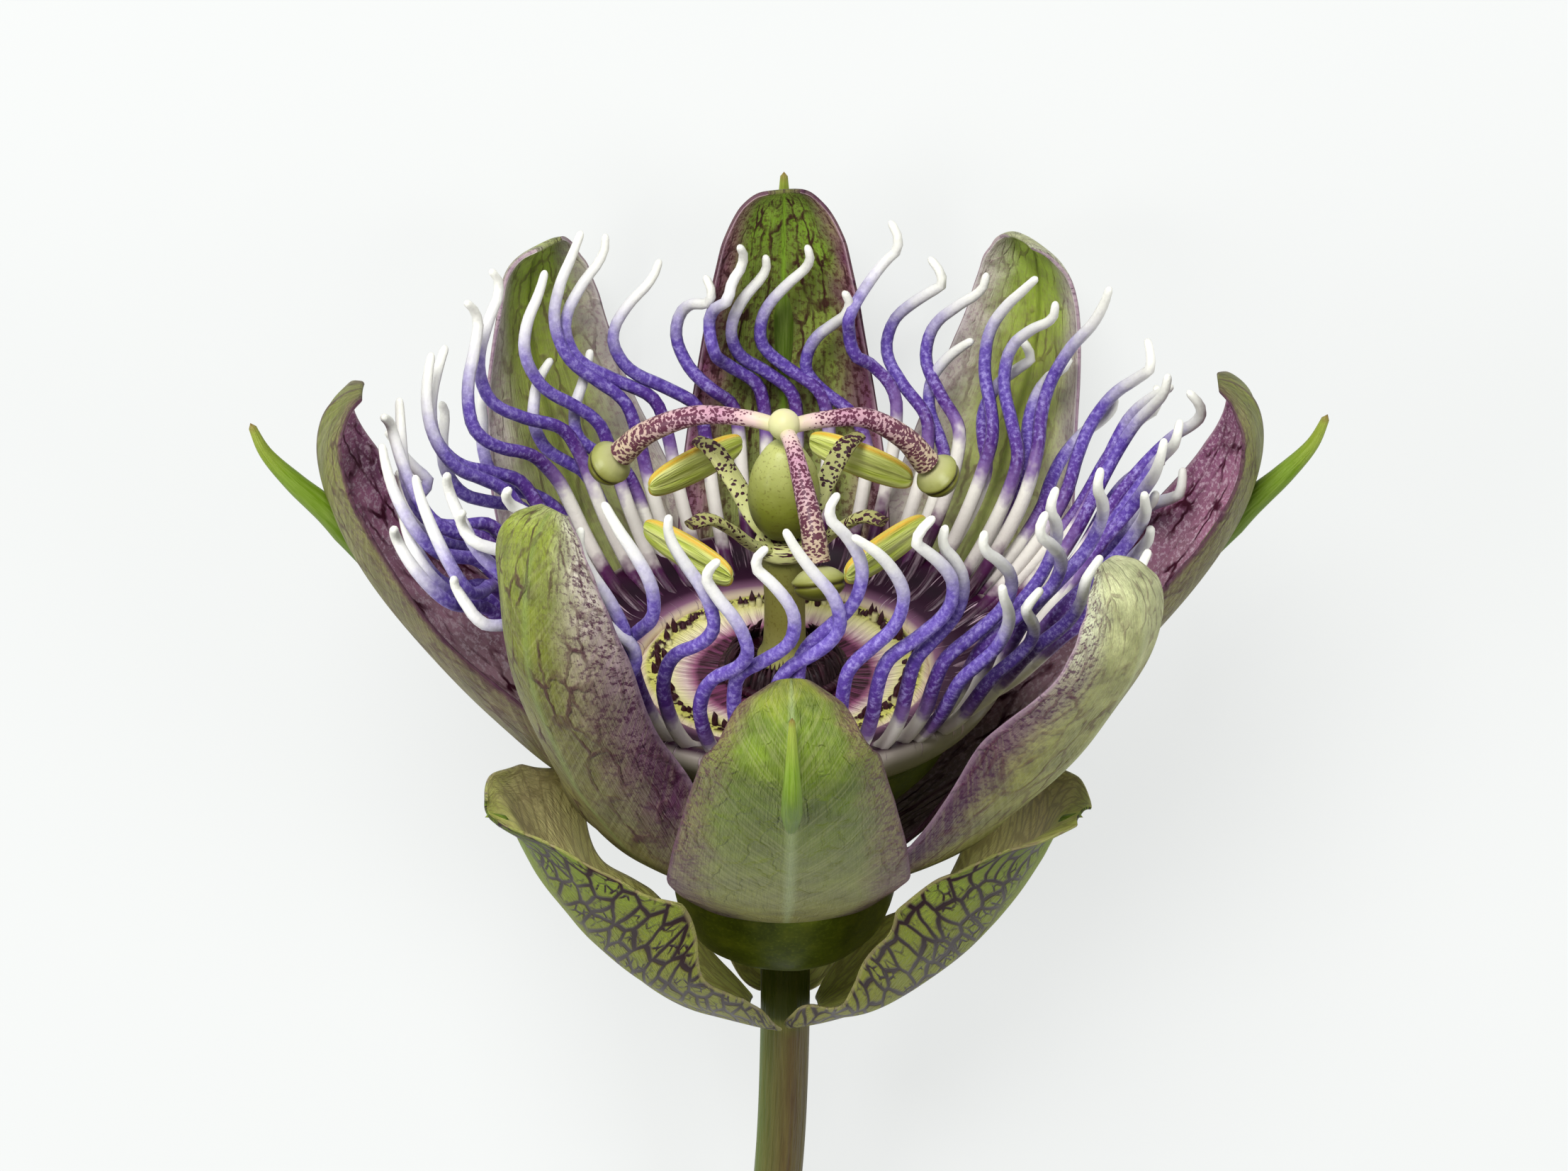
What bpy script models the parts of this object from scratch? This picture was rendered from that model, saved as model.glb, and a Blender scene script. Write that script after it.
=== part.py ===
"""A passion flower on its cut stem, lying on its side as picked.

It is modelled upright in millimetre-sized steps (MM), round the flower's own axis, which is +Z, with the
bottom of the receptacle at z = 0. An azimuth of 0 degrees is +X and 270 degrees, the flower's front, is -Y.
At the end the whole flower is laid down: it rests on its two back petals and on the heel of its stem.
"""

import math
import random

import bmesh
import bpy
import numpy as np
from mathutils import Matrix, Vector
from mathutils.bvhtree import BVHTree

MM = 0.001
SEED = 7
GAP = 0.3 * MM  # between pieces that touch on the real flower

# Stem: a tube that leans a little to one side on its way down.
STEM_LINE = [(0.0, 0.7), (0.0, -8.0), (-0.4, -20.0), (-1.5, -32.0), (-3.2, -43.0)]
STEM_RADIUS = 1.9 * MM
STEM_SIDES = 14

# Receptacle: the dark green bowl under the flower, which goes on inside it as a bell.
RECEPTACLE_PROFILE = [
    (0.0, 1.0), (2.5, 1.0), (5.5, 1.6), (7.4, 3.0), (8.3, 5.3), (8.4, 7.5), (7.8, 8.2), (4.3, 8.4),
    (4.5, 9.6), (6.4, 12.4), (9.4, 16.2), (12.0, 19.4), (12.9, 21.8), (12.6, 22.8), (0.0, 22.8),
]
RECEPTACLE_SEGMENTS = 20

# Tepals: four sepals outside and four petals inside them, all along one bowl-shaped line of (radius, height).
TEPAL_LINE = [
    (9.0, 8.6), (11.2, 10.4), (13.9, 12.7), (17.3, 15.8), (20.7, 19.4), (25.8, 26.0), (29.6, 32.2),
    (32.3, 38.0), (33.4, 43.0), (32.9, 46.6), (31.4, 48.4), (30.1, 48.9),
]
TEPAL_THICKNESS = 0.75 * MM
# (share of the length, half width)
SEPAL_HALF_WIDTHS = [
    (0, 4.6), (0.1, 6.4), (0.2, 8.3), (0.35, 9.3), (0.5, 9.1), (0.65, 8.5), (0.8, 7.4), (0.9, 5.8), (0.96, 3.9),
    (1, 1.2),
]
INNER_SEPAL_HALF_WIDTHS = [
    (0, 4.2), (0.1, 5.9), (0.2, 7.9), (0.35, 8.8), (0.5, 8.3), (0.65, 7.6), (0.8, 6.8), (0.9, 5.5), (0.96, 3.7),
    (1, 1.2),
]
PETAL_HALF_WIDTHS = [
    (0, 4.8), (0.15, 7.2), (0.3, 8.9), (0.45, 9.0), (0.6, 8.4), (0.75, 7.3), (0.85, 6.2), (0.92, 4.9), (0.97, 3.3),
    (1, 1.2),
]
TEPAL_CELLS = (6, 12)

STAYS = 9.0  # an inset that fades out only this far along stays the same up to the tip, which is at 1

# name, azimuth, how far its foot lies inside the common line and the share at which that has faded out, how wide
# and how high its upper part stands against that line, the share from which it does so, its width, the radius
# across its boat-shaped upper part, and the shares between which it becomes that boat. The front sepal overlaps
# the petals. The side sepals come out from under the petals and bulge between them, and the back one stays inside.
SEPALS = [
    ("sepal_right", 1.0, 3.3, 0.7, 1.03, 1.00, 0.05, 0.97, 7.0, (0.0, 0.25)),
    ("sepal_back", 90.0, 3.15, STAYS, 0.775, 1.10, 0.12, 1.00, 6.2, (0.48, 0.95)),
    ("sepal_left", 180.0, 3.15, 0.6, 1.00, 0.99, 0.40, 1.00, 7.0, (0.0, 0.25)),
    ("sepal_front", 271.0, -0.55, STAYS, 0.885, 0.84, 0.46, 0.98, 7.0, (0.30, 0.95)),
]
PETALS = [
    ("petal_back_right", 51.0, 1.2, STAYS, 0.975, 1.01, 0.46, 0.98, 5.6, (0.48, 0.95)),
    ("petal_back_left", 129.0, 1.2, STAYS, 0.97, 1.00, 0.46, 0.98, 5.6, (0.48, 0.95)),
    ("petal_front_left", 229.0, 1.1, STAYS, 0.82, 1.00, 0.10, 1.00, 6.5, (0.20, 0.55)),
    ("petal_front_right", 320.0, 1.1, STAYS, 0.99, 0.925, 0.10, 0.98, 6.8, (0.25, 0.60)),
]

# Awn: the green horn behind each sepal's tip. It grows out of the blade before AWN_SHARE, and then takes these
# (radius, height) steps away from it.
AWN_SHARE = 0.76
AWN_STEPS = [(0.9, 0.8), (3.0, 3.0), (5.0, 5.5), (6.0, 8.0)]
FRONT_AWN_STEPS = [(0.8, 1.2), (1.1, 3.2), (0.9, 5.4), (0.6, 7.4)]
BACK_AWN_STEPS = [(0.5, 1.6), (0.5, 4.8), (0.1, 8.4), (-0.4, 11.6)]
AWN_RADII = [0.3, 0.75, 1.0, 0.95, 0.75, 0.5, 0.26]
AWN_SIDES = 6

# Bracts: three leaves round the stem below the flower, cupped round it.
BRACT_LINE = [
    (2.7, -6.0), (3.9, -5.3), (6.8, -3.5), (10.3, -0.9), (13.9, 2.8), (17.0, 7.0), (19.3, 10.9), (21.0, 14.5),
    (22.3, 17.4), (24.2, 19.2),
]
BRACT_HALF_WIDTHS = [
    (0, 2.6), (0.06, 5.2), (0.15, 7.9), (0.28, 9.4), (0.42, 10.3), (0.58, 12.0), (0.72, 12.8), (0.85, 10.2),
    (0.94, 5.6), (1, 1.2),
]
BRACT_THICKNESS = 0.65 * MM
BRACT_CELLS = (8, 11)
BRACT_CUP_SHARES = (0.0, 0.2)
# name, azimuth, spread, rise, width and the radius across it
BRACTS = [
    ("bract_left", 207.0, 1.0, 1.0, 1.0, 11.2),
    ("bract_right", 333.0, 1.0, 1.0, 0.98, 11.6),
    ("bract_back", 90.0, 0.72, 0.8, 0.78, 13.0),
]

# Corona: wavy filaments round a dish, and the short ones behind them.
DISH_PROFILE = [
    (10.9, 23.4), (14.6, 23.6), (16.4, 25.6), (16.6, 26.9), (15.4, 27.0), (13.2, 25.8), (10.9, 25.2), (10.9, 23.4),
]
# each row's azimuths from, to and how many, then its spread, rise and swing
FILAMENT_ROWS = [
    (0, 360, 48, 1.0, 1.0, 1.0), (-58, 58, 13, 1.0, 0.73, 0.7), (122, 236, 13, 1.0, 0.73, 0.7),
]
# (radius, height, sideways) of one filament
FILAMENT_LINE = [
    (12.4, 25.0, 0.0), (14.8, 26.6, 0.0), (16.8, 29.2, 0.0), (18.4, 32.0, 0.0), (19.6, 35.0, 0.0),
    (20.6, 37.8, 0.8), (21.4, 39.6, 3.8), (22.2, 41.6, 6.2), (23.0, 44.4, 6.2), (23.6, 46.8, 4.2),
    (24.0, 48.8, 2.2), (24.2, 50.6, 2.6),
]
FILAMENT_SHARES = [0, 0.16, 0.32, 0.45, 0.53, 0.60, 0.68, 0.76, 0.84, 0.92, 1]
FILAMENT_RADII = [0.62, 0.64, 0.64, 0.62, 0.60, 0.60, 0.58, 0.56, 0.54, 0.48, 0.36]
FILAMENT_SIDES = 4
FILAMENT_CLEAR = 0.6 * MM  # between a filament's skin and any other piece

# Corona floor, with its ring of stubs, and the dark inner corona round the column's foot.
FLOOR_PROFILE = [(0.0, 23.1), (10.5, 23.1), (10.5, 24.9), (9.4, 25.1), (7.0, 24.6), (5.0, 24.5), (0.0, 24.5)]
FLOOR_STUBS = 16
INNER_PROFILE = [(0.0, 24.8), (4.4, 24.8), (4.8, 25.1), (4.2, 25.4), (0.0, 25.5)]
INNER_STUBS = 14

# Column, ovary, stamens and styles, all on the flower's axis.
COLUMN_PROFILE = [(0.0, 25.8), (2.0, 25.8), (1.6, 27.2), (1.5, 31.0), (1.6, 34.6), (0.0, 34.6)]
STAMEN_HUB_PROFILE = [(0.0, 34.9), (1.9, 34.9), (2.2, 35.5), (1.8, 36.1), (0.0, 36.1)]
OVARY_PROFILE = [
    (0.0, 36.5), (1.3, 36.5), (2.2, 37.6), (2.6, 39.4), (2.3, 41.6), (1.5, 43.2), (0.9, 43.8), (0.0, 43.8),
]
STAMEN_AZIMUTHS = [52.0, 135.0, 222.0, 322.0]
STAMEN_LINE = [(0.6, 35.5), (2.8, 36.4), (5.0, 38.6), (7.2, 40.4), (9.0, 40.6)]
STAMEN_WIDTH, STAMEN_DEPTH = 0.85, 0.42  # half sizes of the flat strap
ANTHER_LENGTH, ANTHER_WIDTH, ANTHER_DEPTH = 9.4 * MM, 2.9 * MM, 1.3 * MM
STYLE_HUB_RADIUS, STYLE_HUB_HEIGHT = 1.15, 45.1
# name, azimuth and (radius, height) line of each style
STYLES = [
    ("left", 156.0, [(0.2, 45.2), (3.0, 45.3), (7.0, 44.6), (10.8, 42.4), (13.0, 40.1)]),
    ("right", 16.0, [(0.2, 45.2), (3.0, 45.4), (6.2, 45.0), (9.1, 42.9), (10.8, 40.6)]),
    ("front", 286.0, [(0.2, 45.2), (2.4, 44.8), (5.0, 43.0), (7.4, 40.8), (8.4, 38.8)]),
]
STYLE_RADII = [0.55, 0.62, 0.75, 0.85, 1.0]
STIGMA_RADII = (1.9 * MM, 1.6 * MM, 1.25 * MM)

COLOURS = {
    "stem green": ((0.16, 0.17, 0.05), 0.5),
    "receptacle green": ((0.07, 0.11, 0.01), 0.45),
    "sepal green": ((0.22, 0.28, 0.08), 0.5),
    "petal green": ((0.34, 0.36, 0.18), 0.5),
    "bract green": ((0.23, 0.28, 0.07), 0.55),
    "corona violet": ((0.17, 0.13, 0.50), 0.45),
    "floor cream": ((0.66, 0.66, 0.30), 0.5),
    "inner purple": ((0.05, 0.005, 0.03), 0.5),
    "ovary green": ((0.22, 0.24, 0.04), 0.4),
    "style pink": ((0.42, 0.19, 0.24), 0.5),
    "stigma green": ((0.24, 0.26, 0.07), 0.4),
    "anther yellow": ((0.48, 0.52, 0.09), 0.5),
}


class Line:
    """A smooth line through a few points, in millimetres, read by its share of the whole length."""

    def __init__(self, points, fineness=24):
        given = np.array(points, float)
        given = np.vstack([2 * given[0] - given[1], given, 2 * given[-1] - given[-2]])
        steps = np.linspace(0, 1, fineness, endpoint=False)[:, None]
        pieces = []
        for a, b, c, d in zip(given, given[1:], given[2:], given[3:]):
            pieces.append(
                0.5 * (2 * b + (c - a) * steps + (2 * a - 5 * b + 4 * c - d) * steps**2
                       + (3 * b - a - 3 * c + d) * steps**3)
            )
        self.points = np.vstack([*pieces, given[-2:-1]])
        lengths = np.linalg.norm(np.diff(self.points, axis=0), axis=1)
        self.shares = np.append(0, np.cumsum(lengths)) / lengths.sum()

    def at(self, share):
        return np.array([np.interp(share, self.shares, column) for column in self.points.T])

    def direction(self, share, step=0.01):
        along = self.at(min(share + step, 1)) - self.at(max(share - step, 0))
        return along / np.linalg.norm(along)


def eased(share, start, end):
    """0 before start, 1 after end, and a smooth rise between them."""
    x = min(max((share - start) / (end - start), 0), 1)
    return x * x * (3 - 2 * x)


def clear_scene():
    for obj in list(bpy.data.objects):
        bpy.data.objects.remove(obj)


def material(name):
    made = bpy.data.materials.get(name)
    if made is None:
        made = bpy.data.materials.new(name)
        made.use_nodes = True
        shader = made.node_tree.nodes["Principled BSDF"]
        colour, roughness = COLOURS[name]
        shader.inputs["Base Color"].default_value = (*colour, 1)
        shader.inputs["Roughness"].default_value = roughness
        shader.inputs["Metallic"].default_value = 0
    return made


def object_of(bm, name, colour):
    """The bmesh as a smooth-shaded object with its material."""
    mesh = bpy.data.meshes.new(name)
    bm.to_mesh(mesh)
    bm.free()
    mesh.shade_smooth()
    mesh.set_sharp_from_angle(angle=math.radians(50))
    obj = bpy.data.objects.new(name, mesh)
    obj.data.materials.append(material(colour))
    bpy.context.scene.collection.objects.link(obj)
    return obj


def turned(profile, segments):
    """A closed body turned round the flower's axis from (radius, height) points in millimetres."""
    bm = bmesh.new()
    corners = [bm.verts.new((r * MM, 0, z * MM)) for r, z in profile]
    edges = [bm.edges.new(pair) for pair in zip(corners, corners[1:])]
    bmesh.ops.spin(
        bm, geom=corners + edges, axis=(0, 0, 1), cent=(0, 0, 0), angle=math.tau, steps=segments, use_merge=True
    )
    bmesh.ops.remove_doubles(bm, verts=bm.verts, dist=0.01 * MM)
    bmesh.ops.recalc_face_normals(bm, faces=bm.faces)
    return bm


def ring_places(path, radii, flat, up):
    """One matrix for each point of a path: its place, its turn along the path and its size there."""
    places = []
    side = Vector(up)
    for index, (point, radius) in enumerate(zip(path, radii)):
        ahead = path[min(index + 1, len(path) - 1)] - path[max(index - 1, 0)]
        along = Vector(ahead).normalized()
        side = (side - along * side.dot(along)).normalized()
        across = along.cross(side)
        turn = Matrix((across, side, along)).transposed().to_4x4()
        size = Matrix.Diagonal((radius, radius * flat, radius, 1))
        places.append(Matrix.Translation(Vector(point)) @ turn @ size)
    return places


def tube(path, radii, sides, flat=1.0, up=(0, 0, 1)):
    """A closed tube, grown from a disc at its root that is extruded from point to point."""
    places = ring_places(path, radii, flat, up)
    bm = bmesh.new()
    bmesh.ops.create_circle(bm, cap_ends=True, segments=sides, radius=1, matrix=places[0])
    end = bm.faces[:][0]
    for before, after in zip(places, places[1:]):
        grown = bmesh.ops.extrude_face_region(bm, geom=[end, *end.edges])["geom"]
        end = next(item for item in grown if isinstance(item, bmesh.types.BMFace))
        bmesh.ops.transform(bm, matrix=after @ before.inverted(), verts=end.verts)
    bmesh.ops.recalc_face_normals(bm, faces=bm.faces)
    return bm


def path_on(line, azimuth, steps, lean=lambda share: 0.0):
    """Points along a (radius, height) line at an azimuth, in metres; lean turns each point by some degrees."""
    points = []
    for share in np.linspace(0, 1, steps + 1):
        radius, height = line.at(share)
        turn = math.radians(azimuth + lean(share))
        points.append(np.array([radius * math.cos(turn), radius * math.sin(turn), height]) * MM)
    return points


def radii_along(values, steps):
    return [radius * MM for radius in np.interp(np.linspace(0, 1, steps + 1), np.linspace(0, 1, len(values)), values)]


def joined(base, pieces, name, colour):
    """One body: the base and all the pieces united by one Boolean, which is applied."""
    helpers = bpy.data.collections.new(name + " pieces")
    bpy.context.scene.collection.children.link(helpers)
    for number, bm in enumerate(pieces):
        mesh = bpy.data.meshes.new(f"{name} piece {number}")
        bm.to_mesh(mesh)
        bm.free()
        helpers.objects.link(bpy.data.objects.new(mesh.name, mesh))
    body = object_of(base, name, colour)
    union = body.modifiers.new("join", "BOOLEAN")
    union.operation = "UNION"
    union.operand_type = "COLLECTION"
    union.collection = helpers
    union.solver = "MANIFOLD"
    bpy.context.view_layer.update()
    united = bpy.data.meshes.new_from_object(body.evaluated_get(bpy.context.evaluated_depsgraph_get()))
    body.modifiers.clear()
    body.data = united
    for helper in list(helpers.objects):
        bpy.data.objects.remove(helper)
    bpy.data.collections.remove(helpers)
    return body


def blade_point(across, share, line, half_widths, cup, cup_shares, wave=0.0):
    """A point of a blade's outer face at azimuth 0, in millimetres: across is -1 and 1 at its margins, and share 0 at
    its foot and 1 at its tip. Between the two cup_shares the blade turns from a surface round the flower's axis
    into a boat whose radius across is cup."""
    radius, height = line.at(share)
    along = line.direction(share)
    outward = np.array([along[1], 0, -along[0]])
    reach = across * np.interp(share, *zip(*half_widths))
    turn = reach / radius
    round_axis = np.array([radius * math.cos(turn), radius * math.sin(turn), height])
    bend = min(radius, cup)
    turn = reach / bend
    boat = np.array([radius, bend * math.sin(turn), height]) - outward * bend * (1 - math.cos(turn))
    ripple = outward * wave * math.sin(share * 17) * abs(across) ** 3
    return round_axis + (boat - round_axis) * eased(share, *cup_shares) + ripple


def blade(line, half_widths, cup, cup_shares, cells, thickness, wave=0.0):
    """A leaf or petal at azimuth 0 with its outer face on the line."""
    bm = bmesh.new()
    bmesh.ops.create_grid(bm, x_segments=cells[0], y_segments=cells[1], size=1)
    for vert in bm.verts:
        share = 1 - (0.5 - vert.co.y / 2) ** 1.35
        vert.co = Vector(blade_point(vert.co.x, share, line, half_widths, cup, cup_shares, wave)) * MM
    bmesh.ops.triangulate(bm, faces=bm.faces, quad_method="FIXED")
    bmesh.ops.solidify(bm, geom=bm.faces, thickness=thickness)
    bmesh.ops.recalc_face_normals(bm, faces=bm.faces)
    return bm


def tepal_line(inset, fade, spread, rise, start):
    """The common tepal line, moved in by inset until it fades out, and wider or higher in its upper part."""
    whole = len(TEPAL_LINE) - 1
    points = []
    for step, (radius, height) in enumerate(TEPAL_LINE):
        upper = eased(step / whole, start, 0.85)
        radius -= inset * (1 - eased(step / whole, 0, fade))
        points.append((radius * (1 + (spread - 1) * upper), height * (1 + (rise - 1) * upper)))
    return Line(points)


def sepal(name, azimuth, inset, fade, spread, rise, start, width, cup, cup_shares):
    line = tepal_line(inset, fade, spread, rise, start)
    widths = INNER_SEPAL_HALF_WIDTHS if inset > 0 else SEPAL_HALF_WIDTHS
    halves = [(share, half * width) for share, half in widths]
    body = blade(line, halves, cup, cup_shares, TEPAL_CELLS, TEPAL_THICKNESS)
    steps = {"sepal_back": BACK_AWN_STEPS, "sepal_front": FRONT_AWN_STEPS}.get(name, AWN_STEPS)
    root = line.at(AWN_SHARE)
    awn_line = Line(
        [line.at(AWN_SHARE - 0.12) - (0.5, 0), line.at(AWN_SHARE - 0.04) - (0.2, 0)]
        + [root + np.array(step) for step in steps]
    )
    count = len(AWN_RADII) - 1
    awn = tube(path_on(awn_line, 0, count), radii_along(AWN_RADII, count), AWN_SIDES, up=(0, 1, 0))
    made = joined(body, [awn], name, "sepal green")
    made.rotation_euler.z = math.radians(azimuth)
    return made


def petal(name, azimuth, inset, fade, spread, rise, start, width, cup, cup_shares):
    halves = [(share, half * width) for share, half in PETAL_HALF_WIDTHS]
    line = tepal_line(inset, fade, spread, rise, start)
    body = blade(line, halves, cup, cup_shares, TEPAL_CELLS, TEPAL_THICKNESS)
    made = object_of(body, name, "petal green")
    made.rotation_euler.z = math.radians(azimuth)
    return made


def bract(name, azimuth, spread, rise, width, cup):
    foot = BRACT_LINE[0][1]
    line = Line([
        (radius * (1 + (spread - 1) * min(step / 4, 1)), foot + (height - foot) * rise)
        for step, (radius, height) in enumerate(BRACT_LINE)
    ])
    halves = [(share, half * width) for share, half in BRACT_HALF_WIDTHS]
    body = blade(line, halves, cup, BRACT_CUP_SHARES, BRACT_CELLS, BRACT_THICKNESS, wave=0.35)
    made = object_of(body, name, "bract green")
    made.rotation_euler.z = math.radians(azimuth)
    return made


def stem():
    line = Line(STEM_LINE)
    path = [np.array([x, 0, z]) * MM for x, z in (line.at(share) for share in np.linspace(0, 1, 12))]
    return object_of(tube(path, [STEM_RADIUS] * len(path), STEM_SIDES, up=(0, 1, 0)), "stem", "stem green")


def stubs(count, radius, height, reach, rise, thickness, seed):
    """Short filaments set in a ring, leaning out by reach and up by rise."""
    draw = random.Random(seed)
    made = []
    for number in range(count):
        azimuth = 360 * number / count + draw.uniform(-2, 2)
        tall = rise * draw.uniform(0.8, 1.1)
        line = Line([(radius, height), (radius + reach * 0.5, height + tall * 0.6), (radius + reach, height + tall)])
        made.append(tube(path_on(line, azimuth, 2), radii_along([thickness, thickness, thickness * 0.6], 2), 4))
    return made


def stamens():
    """The flat stamen filaments, joined at their hub, and one anther across the end of each."""
    line = Line(STAMEN_LINE)
    arms = [
        tube(
            path_on(line, azimuth, 6), radii_along([STAMEN_WIDTH] * 6 + [0.6], 6), 8, STAMEN_DEPTH / STAMEN_WIDTH
        )
        for azimuth in STAMEN_AZIMUTHS
    ]
    made = [joined(turned(STAMEN_HUB_PROFILE, 16), arms, "stamen_filaments", "ovary green")]
    end_radius, end_height = STAMEN_LINE[-1]
    names = ["anther_back_right", "anther_back_left", "anther_front_left", "anther_front_right"]
    for name, azimuth in zip(names, STAMEN_AZIMUTHS):
        bm = bmesh.new()
        bmesh.ops.create_uvsphere(bm, u_segments=10, v_segments=8, radius=0.5)
        bmesh.ops.scale(bm, vec=(ANTHER_DEPTH, ANTHER_WIDTH, ANTHER_LENGTH), verts=bm.verts)
        anther = object_of(bm, name, "anther yellow")
        turn = math.radians(azimuth)
        reach = (end_radius + 0.2) * MM
        drop = STAMEN_DEPTH * MM + GAP + ANTHER_WIDTH / 2
        anther.location = (reach * math.cos(turn), reach * math.sin(turn), end_height * MM - drop)
        anther.rotation_euler = (math.radians(90), 0, turn)
        made.append(anther)
    return made


def styles():
    """Three arching styles that meet on top of the ovary, and a stigma under the end of each."""
    hub = bmesh.new()
    bmesh.ops.create_icosphere(hub, subdivisions=2, radius=STYLE_HUB_RADIUS * MM)
    bmesh.ops.translate(hub, verts=hub.verts, vec=(0, 0, (STYLE_HUB_HEIGHT + 0.35) * MM))
    arms = [
        tube(path_on(Line(line), azimuth, 8), radii_along(STYLE_RADII, 8), 8) for _, azimuth, line in STYLES
    ]
    made = [joined(hub, arms, "styles", "style pink")]
    for name, azimuth, points in STYLES:
        line = Line(points)
        end, along = line.at(1), line.direction(1)
        reach = STIGMA_RADII[2] + GAP
        turn = math.radians(azimuth)
        direction = Vector((along[0] * math.cos(turn), along[0] * math.sin(turn), along[1]))
        place = Vector((end[0] * math.cos(turn), end[0] * math.sin(turn), end[1])) * MM + direction * reach
        bm = bmesh.new()
        bmesh.ops.create_uvsphere(bm, u_segments=12, v_segments=8, radius=1)
        bmesh.ops.scale(bm, vec=STIGMA_RADII, verts=bm.verts)
        stigma = object_of(bm, "stigma_" + name, "stigma green")
        stigma.location = place
        stigma.rotation_mode = "QUATERNION"
        stigma.rotation_quaternion = direction.to_track_quat("Z", "Y")
        made.append(stigma)
    return made


def surfaces_of(objects):
    """The evaluated surfaces of some objects in the flower's frame, as one tree to measure distances to."""
    bpy.context.view_layer.update()
    graph = bpy.context.evaluated_depsgraph_get()
    points, faces = [], []
    for obj in objects:
        evaluated = obj.evaluated_get(graph)
        first = len(points)
        points += [evaluated.matrix_world @ vert.co for vert in evaluated.data.vertices]
        faces += [[first + corner for corner in face.vertices] for face in evaluated.data.polygons]
    return BVHTree.FromPolygons(points, faces)


def kept_clear(path, cup, middle, clearance):
    """The path moved, with its waves, until each point is inside the cup of tepals and clear of every surface."""
    path = np.array(path)
    for turn in range(20):
        push = np.zeros_like(path)
        for index in range(4, len(path)):
            point = path[index]
            reach = np.linalg.norm(point[:2])
            out = point * (1, 1, 0) / reach
            wall = cup.ray_cast(Vector((0, 0, point[2])), Vector(out))[3] or 1
            inward = max(reach - wall + 1.5 * clearance, clearance - cup.find_nearest(Vector(point))[3], 0)
            near, _, _, distance = middle.find_nearest(Vector(point))
            push[index] = -out * inward + (point - np.array(near)) * max(clearance / distance - 1, 0)
        if not push.any():
            break
        drawn = np.vstack([push[:1] * 0, (push[:-2] + push[2:]) / 3, push[-2:-1] * 0.4]) * (turn < 10)
        path += np.where(np.abs(push) > np.abs(drawn), push, drawn)
    return list(path)


def side_reach(azimuth):
    """How far the filaments lean out: most towards the two sides, least at the front."""
    turn = math.radians(azimuth)
    return 1 + 0.2 * math.cos(turn) ** 2 - 0.16 * max(-math.sin(turn), 0) - 0.04 * max(math.sin(turn), 0)


def filament(azimuth, spread, rise, swing, draw, trees):
    """One wavy filament, as the common line turned to its azimuth and stretched."""
    spread *= draw.uniform(0.94, 1.06) * side_reach(azimuth)
    rise *= draw.uniform(0.82, 1.0) * (1.1 - 0.1 * side_reach(azimuth) ** 2)
    swing *= draw.uniform(0.65, 1.1) * (1 - 0.3 * max(-math.sin(math.radians(azimuth)), 0))
    lag = draw.uniform(-0.5, 0.5)
    hook = draw.uniform(-1.5, 1.5)
    whole = len(FILAMENT_LINE) - 1
    sideways = [row[2] for row in FILAMENT_LINE]
    turn = math.radians(azimuth)
    out, along = np.array([math.cos(turn), math.sin(turn), 0]), np.array([-math.sin(turn), math.cos(turn), 0])
    points = []
    for step, (radius, height, _) in enumerate(FILAMENT_LINE):
        upper = eased(step / whole, 0.1, 0.9)
        across = swing * np.interp(step + lag, range(whole + 1), sideways) + (hook if step == whole else 0)
        lift = 25 + (height - 25) * rise
        points.append((out * radius * (1 + (spread - 1) * upper) + along * across) + np.array([0, 0, lift]))
    line = Line(points)
    count = len(FILAMENT_SHARES)
    shares = np.interp(np.arange(0, count - 0.5, 0.5), range(count), FILAMENT_SHARES)
    path = kept_clear([line.at(share) * MM for share in shares], *trees, FILAMENT_CLEAR + max(FILAMENT_RADII) * MM)
    return tube(path[::2], [radius * MM for radius in FILAMENT_RADII], FILAMENT_SIDES)


def corona(tepals, middle):
    draw = random.Random(SEED)
    trees = surfaces_of(tepals), surfaces_of(middle)
    pieces = []
    for first, last, count, spread, rise, swing in FILAMENT_ROWS:
        for number in range(count):
            azimuth = first + (last - first) * (number + 0.5) / count + draw.uniform(-1.2, 1.2)
            pieces.append(filament(azimuth, spread, rise, swing, draw, trees))
    return joined(turned(DISH_PROFILE, 36), pieces, "corona_filaments", "corona violet")


def flower():
    tepals = [sepal(*row) for row in SEPALS] + [petal(*row) for row in PETALS]
    receptacle = object_of(turned(RECEPTACLE_PROFILE, RECEPTACLE_SEGMENTS), "receptacle", "receptacle green")
    bracts = [bract(*row) for row in BRACTS]
    floor = joined(
        turned(FLOOR_PROFILE, 32), stubs(FLOOR_STUBS, 9.2, 24.4, 0.3, 1.7, 0.45, SEED), "corona_floor", "floor cream"
    )
    inner = joined(
        turned(INNER_PROFILE, 24), stubs(INNER_STUBS, 3.6, 25.0, -0.4, 2.6, 0.42, SEED + 1), "inner_corona",
        "inner purple"
    )
    column = object_of(turned(COLUMN_PROFILE, 16), "column", "ovary green")
    ovary = object_of(turned(OVARY_PROFILE, 18), "ovary", "ovary green")
    middle = [floor, inner, column, ovary, *stamens(), *styles()]
    filaments = corona(tepals, middle)
    return [*tepals, receptacle, *bracts, *middle, filaments, stem()]


def corners_of(obj, graph):
    evaluated = obj.evaluated_get(graph)
    co = np.empty(len(evaluated.data.vertices) * 3)
    evaluated.data.vertices.foreach_get("co", co)
    world = np.array(evaluated.matrix_world)
    return co.reshape(-1, 3) @ world[:3, :3].T + world[:3, 3]


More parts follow.
